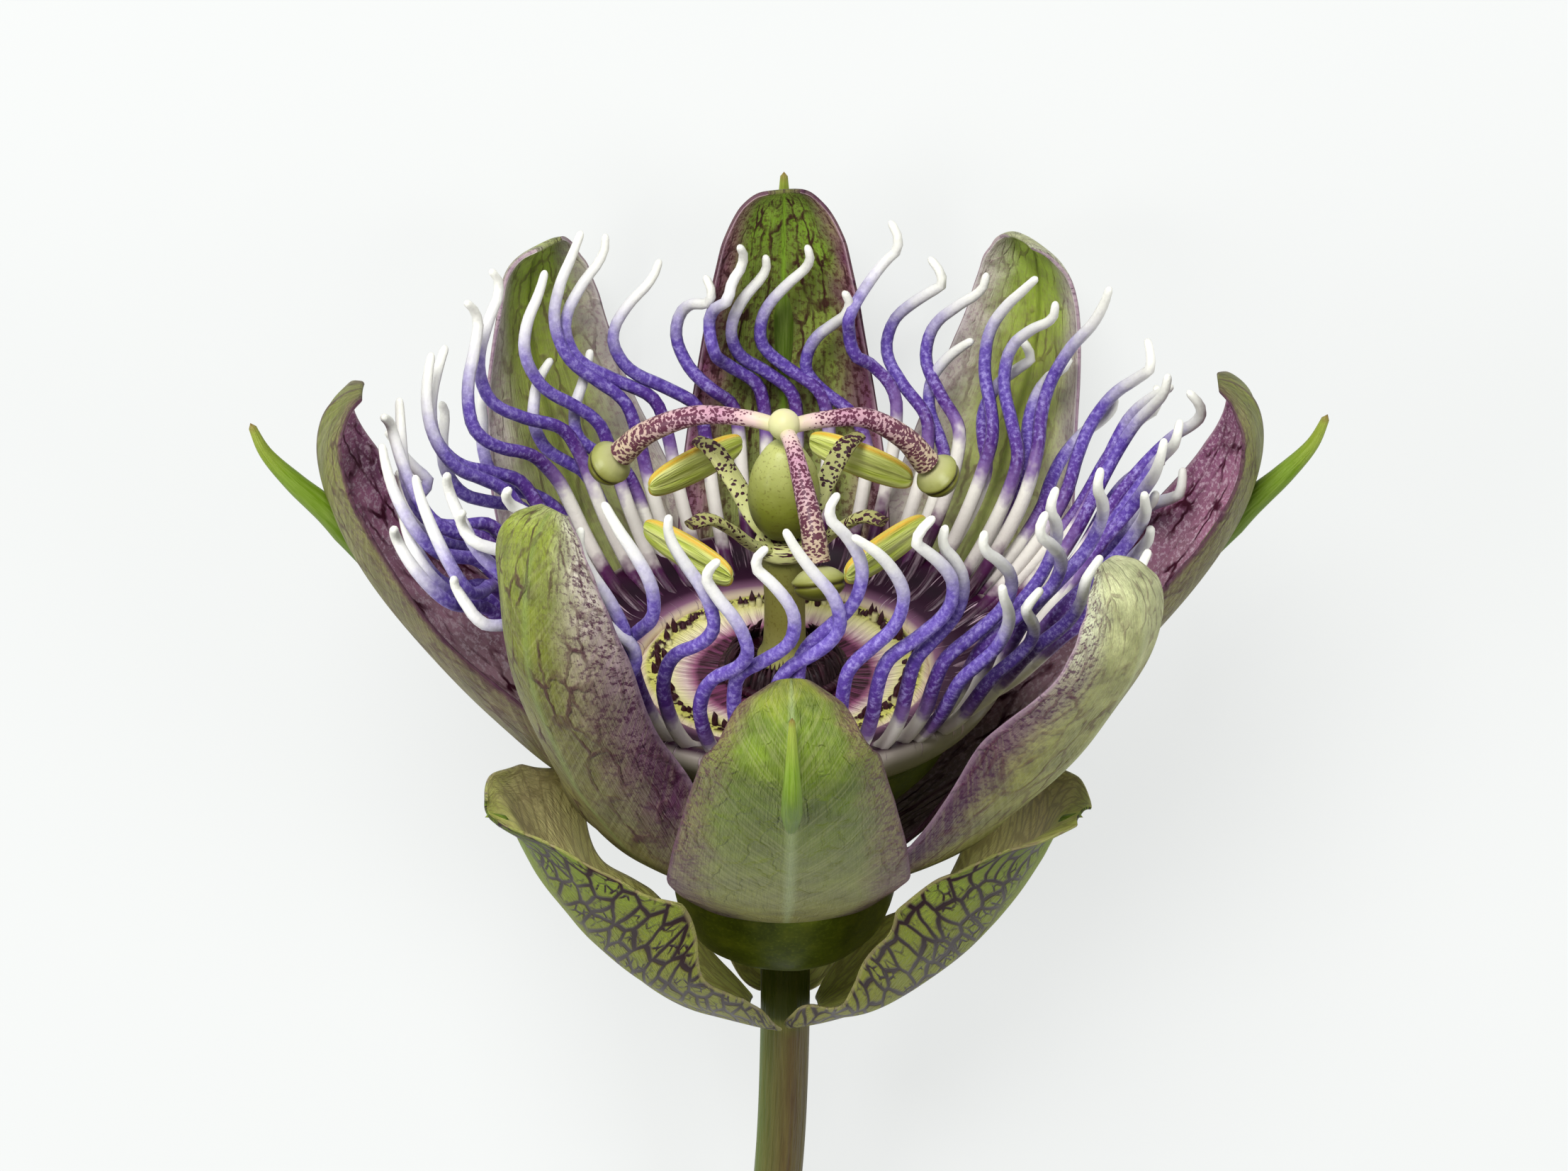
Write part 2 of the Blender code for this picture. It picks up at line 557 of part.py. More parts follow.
def lie_down(pieces, supports):
    """Turns the flower until the three supports touch the ground, with +Y towards its mouth, and centres it."""
    bpy.context.view_layer.update()
    graph = bpy.context.evaluated_depsgraph_get()
    clouds = {obj.name: corners_of(obj, graph) for obj in pieces}
    up = np.array([0.0, -1.0, 0.2])
    for _ in range(12):
        feet = [clouds[name][np.argmin(clouds[name] @ up)] for name in supports]
        normal = np.cross(feet[1] - feet[0], feet[2] - feet[0])
        up = normal * np.sign(normal @ up) / np.linalg.norm(normal)
    ahead = np.array([0, 0, 1.0]) - up * up[2]
    ahead /= np.linalg.norm(ahead)
    turn = np.array([np.cross(ahead, up), ahead, up])
    whole = np.vstack(list(clouds.values())) @ turn.T
    low, high = whole.min(axis=0), whole.max(axis=0)
    carrier = bpy.data.objects.new("lying_flower", None)
    bpy.context.scene.collection.objects.link(carrier)
    for obj in pieces:
        obj.parent = carrier
    carrier.matrix_world = Matrix.Translation(
        (-(low[0] + high[0]) / 2, -(low[1] + high[1]) / 2, -low[2])
    ) @ Matrix(turn.tolist()).to_4x4()


def main():
    clear_scene()
    lie_down(flower(), ["stem", "petal_back_left", "petal_back_right"])


main()
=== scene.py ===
# %% [markdown]
# # A passion flower, laid down as picked
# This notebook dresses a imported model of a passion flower. The plain solids give every piece's place and
# size. Here each of them is replaced by a finer piece of the same form, with the veins, dots and bars of colour
# that make a passion flower what it is.

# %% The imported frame
import math
import random

import bmesh
import bpy
import numpy as np
from mathutils import Matrix, Vector, noise
from mathutils.bvhtree import BVHTree


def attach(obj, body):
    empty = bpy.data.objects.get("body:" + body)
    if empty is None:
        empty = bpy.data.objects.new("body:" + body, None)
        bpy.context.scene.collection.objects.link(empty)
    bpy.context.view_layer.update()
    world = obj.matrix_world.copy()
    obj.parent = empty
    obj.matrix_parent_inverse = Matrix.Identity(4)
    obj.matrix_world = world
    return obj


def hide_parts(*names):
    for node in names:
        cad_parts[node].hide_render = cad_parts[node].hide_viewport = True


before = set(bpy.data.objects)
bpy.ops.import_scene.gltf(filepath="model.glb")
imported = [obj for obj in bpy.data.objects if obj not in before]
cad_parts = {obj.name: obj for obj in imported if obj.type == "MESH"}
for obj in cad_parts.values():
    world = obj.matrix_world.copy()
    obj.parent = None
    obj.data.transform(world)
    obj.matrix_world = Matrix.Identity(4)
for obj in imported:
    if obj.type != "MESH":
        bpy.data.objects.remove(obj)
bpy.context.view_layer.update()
print("solids:", len(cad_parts))

# %% [markdown]
# ## The flower's own frame
# A flower grows round an axis, so it is far easier to model it upright, in millimetres, and to lay it down at the
# end. The column and the ovary are turned shapes: the line through their middles is that axis, and the column's
# foot is a known height up it. The matrix LYING takes a point of the upright flower to its place as it lies.

# %% The matrix that lays the flower down
MM = 0.001
COLUMN_FOOT = 25.8 * MM  # height of the column's foot above the bottom of the receptacle


def middle(node):
    """The mean of a solid's corners, each counted once."""
    corners = {tuple(round(c, 6) for c in vert.co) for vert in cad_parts[node].data.vertices}
    return sum((Vector(corner) for corner in corners), Vector()) / len(corners)


column = middle("column")
axis = (middle("ovary") - column).normalized()
lowest = min((vert.co - column).dot(axis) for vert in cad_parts["column"].data.vertices)
side = (Vector((1, 0, 0)) - axis * axis.x).normalized()
LYING = (
    Matrix.Translation(column + axis * (lowest - COLUMN_FOOT))
    @ Matrix((side, axis.cross(side), axis)).transposed().to_4x4()
    @ Matrix.Scale(MM, 4)
)
UPRIGHT = LYING.inverted()
print("axis:", [round(c, 4) for c in axis])

# %% [markdown]
# ## Camera, floor and light
# The eye looks into the bloom from the side of its front sepal, 31 degrees above the flower's own horizon. The
# flower lies down, so in the room that view looks down on it. A long lens keeps the flower's far side almost as
# large as its near side. The light is a large soft box on each side and one overhead, and the floor is a sheet of
# white paper on a light table, which takes most of the shadow away.

# %% The camera
EYE_RISE = math.radians(31)
EYE_REACH = 350.0  # from the camera to the middle of the bloom
BLOOM_MIDDLE = Vector((0, 0, 32.0))
LENS = 110

ahead = Vector((0, math.cos(EYE_RISE), -math.sin(EYE_RISE)))
above = Vector((0, math.sin(EYE_RISE), math.cos(EYE_RISE)))
camera = bpy.data.objects.new("camera", bpy.data.cameras.new("camera"))
bpy.context.scene.collection.objects.link(camera)
camera.data.lens = LENS
camera.data.sensor_width = 36
camera.data.clip_start = 0.01
TURN = LYING.to_3x3() @ Matrix.Scale(1 / MM, 3)
eye_turn = TURN @ Matrix((Vector((1, 0, 0)), above, -ahead)).transposed()
camera.matrix_world = Matrix.Translation(LYING @ (BLOOM_MIDDLE - ahead * EYE_REACH)) @ eye_turn.to_4x4()
bpy.context.scene.camera = camera

# %% [markdown]
# ## Colours and shader nodes
# Colours are written as the sRGB hex values that a colour picker shows. A shader works with linear light, so one
# function converts them. A second function adds a node, sets or links its inputs, and gives one of its outputs,
# so that a finish can be written down from the inside out, like a formula.

# %% Colours and nodes


def linear(hex_code):
    """An sRGB colour such as "5c6e18" as the linear values that a shader wants."""
    values = [int(hex_code[i : i + 2], 16) / 255 for i in (0, 2, 4)]
    return (*[v / 12.92 if v <= 0.04045 else ((v + 0.055) / 1.055) ** 2.4 for v in values], 1)


def add(tree, kind, inputs=None, output=0, stops=None, **settings):
    """Adds a node of this kind, with its settings and its ramp's stops, and gives one of its outputs. An input
    takes a value, a hex colour or another node's output."""
    made = tree.nodes.new("ShaderNode" + kind)
    for name, value in settings.items():
        setattr(made, name, value)
    for key, value in (inputs or {}).items():
        if isinstance(value, bpy.types.NodeSocket):
            tree.links.new(value, made.inputs[key])
        else:
            made.inputs[key].default_value = linear(value) if isinstance(value, str) else value
    if stops:
        ramp = made.color_ramp.elements
        ramp.remove(ramp[-1])
        ramp[0].position = stops[0][0]
        for number, (place, colour) in enumerate(stops):
            element = ramp.new(place) if number else ramp[0]
            element.color = linear(colour) if isinstance(colour, str) else (colour, colour, colour, 1)
    return made.outputs[output]


# %% Floor and lights
GLOW = 0.73  # the light table under the paper
ROOM_LIGHT = 0.36
FLOOR_REACH = 2  # metres from the flower to the paper's edge
LIT = Vector((0, 0, 0.03))  # the place that the soft boxes point at
SOFT_BOX_SIZE = 0.45
SOFT_BOXES = [  # name, place and watts
    ("soft box over the flower's mouth", (-0.15, 0.55, 0.6), 8.4),
    ("soft box left", (-0.7, -0.1, 0.5), 4.6),
    ("soft box right", (0.7, -0.1, 0.5), 3.2),
]

bm = bmesh.new()
bmesh.ops.create_grid(bm, x_segments=1, y_segments=1, size=FLOOR_REACH)
floor_mesh = bpy.data.meshes.new("floor")
bm.to_mesh(floor_mesh)
bm.free()
floor = bpy.data.objects.new("floor", floor_mesh)
bpy.context.scene.collection.objects.link(floor)
paper = bpy.data.materials.new("white paper on a light table")
paper.use_nodes = True
sheet = paper.node_tree.nodes["Principled BSDF"].inputs
sheet["Base Color"].default_value = linear("6a6b6a")
sheet["Roughness"].default_value = 0.9
sheet["Specular IOR Level"].default_value = 0.0
sheet["Emission Color"].default_value = linear("f8faf9")
sheet["Emission Strength"].default_value = GLOW
floor_mesh.materials.append(paper)

for name, place, watts in SOFT_BOXES:
    light = bpy.data.lights.new(name, "AREA")
    light.shape = "DISK"
    light.size = SOFT_BOX_SIZE
    light.energy = watts
    lamp = bpy.data.objects.new(name, light)
    bpy.context.scene.collection.objects.link(lamp)
    lamp.location = place
    lamp.rotation_euler = (LIT - Vector(place)).to_track_quat("-Z", "Y").to_euler()
world = bpy.data.worlds.new("pale room")
world.use_nodes = True
room = world.node_tree.nodes["Background"].inputs
room["Color"].default_value = linear("ffffff")
room["Strength"].default_value = ROOM_LIGHT
bpy.context.scene.world = world
bpy.context.scene.view_settings.view_transform = "Standard"
print("soft boxes:", len(SOFT_BOXES))

# %% [markdown]
# ## Lines and sheets
# Petals, leaves, hairs and even the turned middle of the flower can all be seen as a sheet whose corners are moved
# into place: a petal's sheet is bent, a hair's is rolled up and its seam merged. So one helper starts from
# Blender's grid with a UV map and moves each corner to a place worked out from its two shares, across and along.
# The UV map then follows the piece, which is what its veins and bars of colour need.

# %% A smooth line through a few points
class Line:
    """A smooth line through a few points, read by its share of the whole length."""

    def __init__(self, points, fineness=24):
        given = np.array(points, float)
        given = np.vstack([2 * given[0] - given[1], given, 2 * given[-1] - given[-2]])
        steps = np.linspace(0, 1, fineness, endpoint=False)[:, None]
        pieces = []
        for a, b, c, d in zip(given, given[1:], given[2:], given[3:]):
            pieces.append(
                0.5 * (2 * b + (c - a) * steps + (2 * a - 5 * b + 4 * c - d) * steps**2
                       + (3 * b - a - 3 * c + d) * steps**3)
            )
        self.points = np.vstack([*pieces, given[-2:-1]])
        lengths = np.linalg.norm(np.diff(self.points, axis=0), axis=1)
        self.shares = np.append(0, np.cumsum(lengths)) / lengths.sum()

    def at(self, share):
        return np.array([np.interp(share, self.shares, column) for column in self.points.T])

    def direction(self, share, step=0.01):
        along = self.at(min(share + step, 1)) - self.at(max(share - step, 0))
        return along / np.linalg.norm(along)


def eased(share, start, end):
    """0 before start, 1 after end, and a smooth rise between them."""
    x = min(max((share - start) / (end - start), 0), 1)
    return x * x * (3 - 2 * x)


# %% Sheets, and the piece that they become
SEAM = 1e-4  # corners this close, in millimetres, are one
SHARP = math.radians(60)  # an edge that turns by more than this is left sharp


def new_mesh():
    bm = bmesh.new()
    bm.loops.layers.uv.new("UVMap")
    bm.verts.layers.float.new("tint")
    return bm


def add_sheet(bm, columns, rows, place, tint=0.0, slot=0):
    """Adds a grid whose corners are moved to place(across, along), both shares from 0 to 1."""
    corners = bmesh.ops.create_grid(bm, x_segments=columns, y_segments=rows, size=0.5, calc_uvs=True)["verts"]
    layer = bm.verts.layers.float["tint"]
    faces = {face for corner in corners for face in corner.link_faces}
    for corner in corners:
        corner.co = place(corner.co.x + 0.5, corner.co.y + 0.5)
        corner[layer] = tint
    for face in faces:
        face.material_index = slot
    bmesh.ops.remove_doubles(bm, verts=corners, dist=SEAM)


def close(bm):
    """Fills open ends and points all faces outwards."""
    bmesh.ops.holes_fill(bm, edges=bm.edges, sides=0)
    bmesh.ops.recalc_face_normals(bm, faces=bm.faces)


def piece(bm, node, materials):
    """The upright millimetre mesh laid down as an object that stands for one solid."""
    name = node + "_fine"
    bmesh.ops.transform(bm, matrix=LYING, verts=bm.verts)
    mesh = bpy.data.meshes.new(name)
    bm.to_mesh(mesh)
    bm.free()
    mesh.shade_smooth()
    mesh.set_sharp_from_angle(angle=SHARP)
    made = bpy.data.objects.new(name, mesh)
    bpy.context.scene.collection.objects.link(made)
    for material in materials:
        mesh.materials.append(material)
    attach(made, "root")
    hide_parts(node)
    print(f"{name}: {len(mesh.polygons)} faces")


# %% [markdown]
# ## Tubes and turned shapes
# A tube is a sheet rolled round a path: every row of corners becomes a ring at one point of the path. The rings
# turn with the path by the smallest turn each time, so that the tube never twists. A turned shape is simpler: a
# row of corners becomes a ring round the flower's axis.

# %% Tubes and turned shapes
def ring_places(path, radii, flat, up):
    """One matrix for each point of a path: its place, its turn along the path and its size there."""
    places = []
    side = Vector(up)
    for index, (point, radius) in enumerate(zip(path, radii)):
        onward = path[min(index + 1, len(path) - 1)] - path[max(index - 1, 0)]
        along = Vector(onward).normalized()
        side = (side - along * side.dot(along)).normalized()
        size = Matrix.Diagonal((radius, radius * flat, radius, 1))
        turn = Matrix((along.cross(side), side, along)).transposed().to_4x4()
        places.append(Matrix.Translation(Vector(point)) @ turn @ size)
    return places


def add_tube(bm, path, radii, around, flat=1.0, up=(0, 0, 1), tint=0.0, slot=0, ribs=(0, 0)):
    """A tube along the path; ribs are their number and their height as a share of the radius."""
    places = ring_places(path, radii, flat, up)

    def place(across, along):
        turn = math.tau * across
        swell = 1 + ribs[1] * math.cos(turn * ribs[0])
        return places[round(along * (len(path) - 1))] @ (Vector((math.cos(turn), math.sin(turn), 0)) * swell)

    add_sheet(bm, around, len(path) - 1, place, tint, slot)


def at_azimuth(point, azimuth):
    """A (radius, height) or (radius, height, sideways) point turned to an azimuth in degrees."""
    turn = math.radians(azimuth)
    out = np.array([math.cos(turn), math.sin(turn), 0])
    along = np.array([-math.sin(turn), math.cos(turn), 0])
    return out * point[0] + along * (point[2] if len(point) > 2 else 0) + np.array([0, 0, point[1]])


def add_turned(bm, profile, around, rows, lobes=()):
    """A body turned round the flower's axis from a smooth (radius, height) profile; lobes are waves round it, each
    with its number and its height."""
    line = Line(profile)

    def place(across, along):
        radius, height = line.at(along)
        turn = math.tau * across
        radius += sum(swell * math.cos(count * turn) for count, swell in lobes) * min(radius, 1)
        return Vector((radius * math.cos(turn), radius * math.sin(turn), height))

    add_sheet(bm, around, rows, place)


def turned_piece(node, profile, around, rows, lobes, skin):
    bm = new_mesh()
    add_turned(bm, profile, around, rows, lobes)
    close(bm)
    piece(bm, node, [skin])


# %% [markdown]
# ## A living skin
# Every surface here is plant tissue with a thin waxy cuticle, so all the finishes share one build: a principled
# shader with the index of refraction of wax and a roughness that follows the relief. What differs is the paint.
# Each finish has its own paint function, which gives a colour and a height field; the height becomes bump, with
# its depth in millimetres.

# %% A living skin, and the shares that its paint reads
WAX_IOR = 1.43
WAX_GLOSS = 0.3  # a cuticle shines less than clean wax, because it is covered with tiny crystals
DEPTH = 1.18  # moist tissue looks deeper than the colours picked for it, in its dark places most of all
# Roughness, from the hollows of the relief to its tops.
MATT, WAXY, SATIN, GLOSSY = (0.5, 0.7), (0.42, 0.62), (0.35, 0.5), (0.3, 0.45)


def living(name, paint, relief, rough=WAXY, sheen=0.0):
    """A plant surface. paint(tree) gives its colour and height; relief is the height's depth in millimetres."""
    made = bpy.data.materials.new(name)
    made.use_nodes = True
    tree = made.node_tree
    shader = tree.nodes["Principled BSDF"]
    colour, height = paint(tree)
    shader.inputs["IOR"].default_value = WAX_IOR
    shader.inputs["Specular IOR Level"].default_value = WAX_GLOSS
    shader.inputs["Sheen Weight"].default_value = sheen
    colour = add(tree, "Gamma", {0: colour, 1: DEPTH})
    tree.links.new(colour, shader.inputs["Base Color"])
    gloss = add(tree, "MapRange", {"Value": height, "To Min": rough[0], "To Max": rough[1]})
    tree.links.new(gloss, shader.inputs["Roughness"])
    bump = add(tree, "Bump", {"Height": height, "Distance": relief * MM, "Strength": 1.0})
    tree.links.new(bump, shader.inputs["Normal"])
    return made


def shares(tree, wide, long):
    """A piece's UV map in millimetres, moved a little for each piece, and its shares across and along."""
    place = add(tree, "UVMap", uv_map="UVMap")
    split = add(tree, "SeparateXYZ", {0: place}).node
    tint = add(tree, "Attribute", output="Fac", attribute_name="tint")
    shift = add(tree, "VectorMath", {0: tint, 1: (37, 11, 5)}, operation="MULTIPLY")
    mm = add(tree, "VectorMath", {0: place, 1: (wide, long, 1), 2: shift}, operation="MULTIPLY_ADD")
    return mm, split.outputs["X"], split.outputs["Y"]


def fibres(tree, mm, thick, long, low=0.35, high=0.7, detail=3):
    """Streaks along a piece, of a thickness and length in millimetres, as values from 0 to 1."""
    drawn = add(tree, "Mapping", {"Vector": mm, "Scale": (1 / thick, 1 / long, 1)})
    cloud = add(tree, "TexNoise", {"Vector": drawn, "Scale": 1, "Detail": detail, "Roughness": 0.6})
    return add(tree, "ValToRGB", {0: cloud}, stops=[(low, 0), (high, 1)])


def vein_net(tree, mm, across, along, line, bend=0.6):
    """A net of veins round cells of a size in millimetres; line is a vein's width as a share of a cell."""
    wander = add(tree, "TexNoise", {"Vector": mm, "Scale": 0.9 / across, "Detail": 2}, output="Color")
    cells = add(tree, "Mapping", {"Vector": mm, "Scale": (1 / across, 1 / along, 1)})
    bent = add(tree, "VectorMath", {0: wander, 1: (bend, bend, 0), 2: cells}, operation="MULTIPLY_ADD")
    edge = add(tree, "TexVoronoi", {"Vector": bent, "Scale": 1, "Randomness": 0.95},
               feature="DISTANCE_TO_EDGE", voronoi_dimensions="2D")
    return add(tree, "ValToRGB", {0: edge}, stops=[(line * 0.4, 1), (line, 0)])


def stained(tree, colour, stain, mask, strength):
    """The colour with a stain over it where the mask is light; strength is a number or another mask."""
    seen = add(tree, "Math", {0: mask, 1: strength}, operation="MULTIPLY")
    return add(tree, "MixRGB", {0: seen, 1: colour, 2: stain})


def ragged(tree, share, cloud, reach):
    """A share moved to and fro by a cloud, so that a colour that starts at it has a ragged edge."""
    moved = add(tree, "Math", {0: cloud, 1: reach, 2: share}, operation="MULTIPLY_ADD")
    return add(tree, "Math", {0: moved, 1: reach / 2}, operation="SUBTRACT")


# %% [markdown]
# ## Sepal and petal skins
# A tepal is green where it was folded outside in the bud, and pale or purple where it was covered. The colour
# runs in three layers: a ground from foot to tip, a band of another colour along the edges, and over them a net of
# thin maroon veins, maroon freckles and a line along the keel. One paint function takes those colours, so that
# each sepal or petal is a few rows of colours and not a new material.

# %% Paint for sepals and petals
TEPAL_WIDE, TEPAL_LONG = 17.0, 56.0
FEATHER_SLANT = 1.6  # how far a fine vein runs forward for each millimetre that it runs out


def tepal_paint(ground, margin, sides, keel, veins, freckles, rim, bloom=0.12, feather=0.0):
    """ground and margin are colours from foot to tip, and sides is how much of the margin's colour shows from one
    edge to the other. keel is a colour and a strength; veins and freckles are a colour with their strengths near
    the keel and at the edges; rim is the colour of the very edge; bloom and feather are the strengths of the waxy
    streaks along the tepal and of the fine pale veins that leave its keel at a slant."""

    def paint(tree):
        mm, across, along = shares(tree, TEPAL_WIDE, TEPAL_LONG)
        cloud = add(tree, "TexNoise", {"Vector": mm, "Scale": 0.28, "Detail": 4, "Roughness": 0.6})
        edge = add(tree, "ValToRGB", {0: ragged(tree, across, cloud, reach=0.24)}, stops=sides)
        length = ragged(tree, along, cloud, reach=0.2)
        middle = add(tree, "ValToRGB", {0: length}, stops=ground)
        outer = add(tree, "ValToRGB", {0: length}, stops=margin)
        colour = add(tree, "MixRGB", {0: edge, 1: middle, 2: outer})

        patches = add(tree, "ValToRGB", {0: cloud}, stops=[(0.34, 0.62), (0.66, 1)])
        colour = add(tree, "MixRGB", {0: 1.0, 1: colour, 2: patches}, blend_type="MULTIPLY")
        grain = fibres(tree, mm, thick=0.16, long=2.2, low=0.3, high=0.75)
        colour = stained(tree, colour, "cfd2b8", grain, bloom)

        aside = add(tree, "Math", {0: across, 1: 0.5}, operation="SUBTRACT")
        aside = add(tree, "Math", {0: aside}, operation="ABSOLUTE")
        back = add(tree, "Math", {0: aside, 1: -FEATHER_SLANT * TEPAL_WIDE}, operation="MULTIPLY")
        back = add(tree, "CombineXYZ", {1: back})
        slanted = add(tree, "VectorMath", {0: back, 1: mm}, operation="ADD")
        plumes = fibres(tree, slanted, thick=7.0, long=0.42, low=0.46, high=0.62, detail=4)
        colour = stained(tree, colour, "acac80", plumes, feather)

        dust = add(tree, "TexNoise", {"Vector": mm, "Scale": 2.2, "Detail": 3, "Roughness": 0.7})
        dust = add(tree, "ValToRGB", {0: dust}, stops=[(0.5, 0), (0.6, 1)])
        strength = add(tree, "MapRange", {"Value": edge, "To Min": freckles[1], "To Max": freckles[2]})
        colour = stained(tree, colour, freckles[0], dust, strength)

        net = vein_net(tree, mm, across=1.5, along=4.6, line=0.12)
        broken = fibres(tree, mm, thick=2.0, long=5.0, low=0.42, high=0.6)
        net = add(tree, "Math", {0: net, 1: broken}, operation="MULTIPLY")
        strength = add(tree, "MapRange", {"Value": edge, "To Min": veins[1], "To Max": veins[2]})
        colour = stained(tree, colour, veins[0], net, strength)

        ridge = add(tree, "ValToRGB", {0: across}, stops=[(0.465, 0), (0.495, 1), (0.505, 1), (0.535, 0)])
        colour = stained(tree, colour, keel[0], ridge, keel[1])
        brink = add(tree, "ValToRGB", {0: across}, stops=[(0.004, 0.8), (0.03, 0), (0.97, 0), (0.996, 0.8)])
        colour = add(tree, "MixRGB", {0: brink, 1: colour, 2: rim})
        return colour, add(tree, "MixRGB", {0: 0.55, 1: grain, 2: net})

    return paint


# How much of the margin's colour shows: wide or narrow on both edges, or on a petal's one uncovered edge.
EVEN_SIDES = [(0.0, 1), (0.12, 0.75), (0.3, 0.1), (0.5, 0), (0.7, 0.1), (0.88, 0.75), (1.0, 1)]
NARROW_SIDES = [(0.0, 1), (0.1, 0.7), (0.22, 0), (0.78, 0), (0.9, 0.7), (1.0, 1)]
LATE_SIDE = [(0.0, 0.4), (0.06, 0), (0.62, 0), (0.78, 0.6), (0.9, 1), (1.0, 1)]
EARLY_SIDE = [(0.0, 1), (0.1, 0.9), (0.25, 0), (0.94, 0), (1.0, 0.4)]

# Fresh sepal, grown: waxy green outside with a grey bloom and a purple-tinged edge.
FRONT_SEPAL_SKIN = living("fresh sepal skin, waxy green", tepal_paint(
    ground=[(0.0, "989258"), (0.15, "888644"), (0.4, "767e28"), (0.62, "687a0c"), (0.85, "748c10"), (1.0, "9ca038")],
    margin=[(0.0, "4c2444"), (0.25, "6a4058"), (0.45, "80704c"), (0.75, "848440"), (0.92, "846458"), (1.0, "84705c")],
    sides=NARROW_SIDES, keel=("a8b48c", 0.45), veins=("4c2438", 0.0, 0.3), freckles=("5a2448", 0.0, 0.8),
    rim="5c3050", feather=0.28), relief=0.2)
# The other sepals are greyer and duller, with a dark keel line under the bloom.
SIDE_SEPAL_SKIN = living("fresh sepal skin, grey-green", tepal_paint(
    ground=[(0.0, "6a6a34"), (0.2, "767448"), (0.45, "827c50"), (0.7, "80823e"), (0.9, "7c842c"), (1.0, "868a3c")],
    margin=[(0.0, "5c3c48"), (0.3, "746450"), (0.6, "80784c"), (0.85, "868642"), (1.0, "806c58")],
    sides=EVEN_SIDES, keel=("54284a", 0.6), veins=("4a2036", 0.4, 0.6), freckles=("5c3050", 0.15, 0.4),
    rim="5c3450", feather=0.3), relief=0.2)
# Fresh sepal, grown: the lining is thin and matt, with a maroon net over a purple ground. Here that ground is painted
# as a much paler pinkish beige: painted light on the inside of the cup, which the lamps hardly reach.
SEPAL_LINING = living("fresh sepal lining, maroon net", tepal_paint(
    ground=[(0.0, "bcb09c"), (0.35, "bc98a4"), (0.6, "b47c98"), (0.85, "b07296"), (1.0, "bc86a2")],
    margin=[(0.0, "a07888"), (0.4, "9c6488"), (0.8, "90507c"), (1.0, "a06890")],
    sides=EVEN_SIDES, keel=("6a2848", 0.6), veins=("4c0c2c", 1.0, 1.0), freckles=("dccad2", 0.6, 0.5),
    rim="b098a0"), relief=0.1, rough=MATT)
# The back sepal's lining is green, its net broken into dashes, and purple only along the edges. Its colours are
# painted lighter than the tissue: painted light on this face, which lies in the shade of the cup.
BACK_SEPAL_LINING = living("fresh sepal lining, dashed green", tepal_paint(
    ground=[(0.0, "a0a470"), (0.4, "a0a862"), (0.65, "8c9c40"), (0.85, "7f9f28"), (1.0, "94ac48")],
    margin=[(0.0, "b8a4b4"), (0.3, "a46c94"), (0.6, "94487c"), (0.82, "8c5470"), (1.0, "a09070")],
    sides=NARROW_SIDES, keel=("8fb43c", 0.8), veins=("43141e", 0.9, 0.8), freckles=("501c28", 0.6, 0.8),
    rim="b8a0a8"), relief=0.1, rough=MATT)

# Fresh petal, grown: softer than a sepal, green over the keel and purple to pale pink on the covered side.
PETAL_SIDE = [(0.0, "4c1c48"), (0.3, "5a2650"), (0.45, "744668"), (0.62, "a08890"), (0.85, "ccc4b8"), (1.0, "d0d0b4")]
PALE_SIDE = [(0.0, "4c2048"), (0.35, "5c2c58"), (0.52, "744a68"), (0.7, "a8a090"), (0.85, "cdd0b4"), (1.0, "dde0c4")]
# The petals on the left are green to the tip with one lilac side, and the ones on the right fade to cream.
LEFT_PETAL_SKIN = living("fresh petal skin, green and lilac", tepal_paint(
    ground=[(0.0, "6c6a2c"), (0.2, "78703a"), (0.5, "787430"), (0.75, "808a24"), (0.92, "98a634"), (1.0, "c0c884")],
    margin=PETAL_SIDE, sides=LATE_SIDE, keel=("8aa05c", 0.35), veins=("4a1c30", 0.75, 0.6),
    freckles=("48143c", 0.25, 0.85), rim="a08a98", feather=0.25), relief=0.2)
RIGHT_PETAL_SKIN = living("fresh petal skin, pale and green", tepal_paint(
    ground=[(0.0, "6c741c"), (0.2, "827f38"), (0.45, "92924a"), (0.7, "b2b478"), (0.9, "d0d4a4"), (1.0, "dcdeb4")],
    margin=PALE_SIDE, sides=EARLY_SIDE, keel=("b8bf94", 0.35), veins=("5a2c40", 0.45, 0.6),
    freckles=("4c1844", 0.12, 0.85), rim="a08a98", feather=0.25), relief=0.2)
# Fresh petal lining, grown: thin, matt and clear green, with a pale pink edge where it lay open first.
PETAL_LINING = living("fresh petal lining, green with a pink edge", tepal_paint(
    ground=[(0.0, "b8b890"), (0.4, "b4bc70"), (0.65, "aaba48"), (0.85, "a4c038"), (1.0, "b8cc60")],
    margin=[(0.0, "d4c4c8"), (0.4, "dcd0d0"), (0.75, "d8cccc"), (0.95, "ccc8b4"), (1.0, "c8cca4")],
    sides=EVEN_SIDES, keel=("5e6a20", 0.5), veins=("5a3240", 0.5, 0.3), freckles=("8a5a78", 0.15, 0.4),
    rim="d6d0cc"), relief=0.1, rough=MATT)

# %% [markdown]
# ## Bract skins
# The bracts are the leaves round the flower. Their main veins leave the keel at a slant and branch into a net of
# thick maroon veins that reaches the edge, over a soft green. So their paint folds the leaf at the keel, slants
# the net forwards, and lays a finer net inside the coarse one.

# %% Paint for bracts
BRACT_HALF, BRACT_LONG = 12.0, 38.0
VEIN_SLANT = 0.85  # how far a main vein runs forward for each millimetre that it runs out
HALVES_APART = 31.0  # millimetres between the nets of a bract's two halves, so that they aren't mirror images
COARSE_CELL, FINE_CELL = (3.0, 2.0), (1.3, 1.0)
# widths as shares of a cell: of a vein, and of the painted shade beside it
VEIN_SHARE, VEIN_SHADE_SHARE = 0.15, 0.34


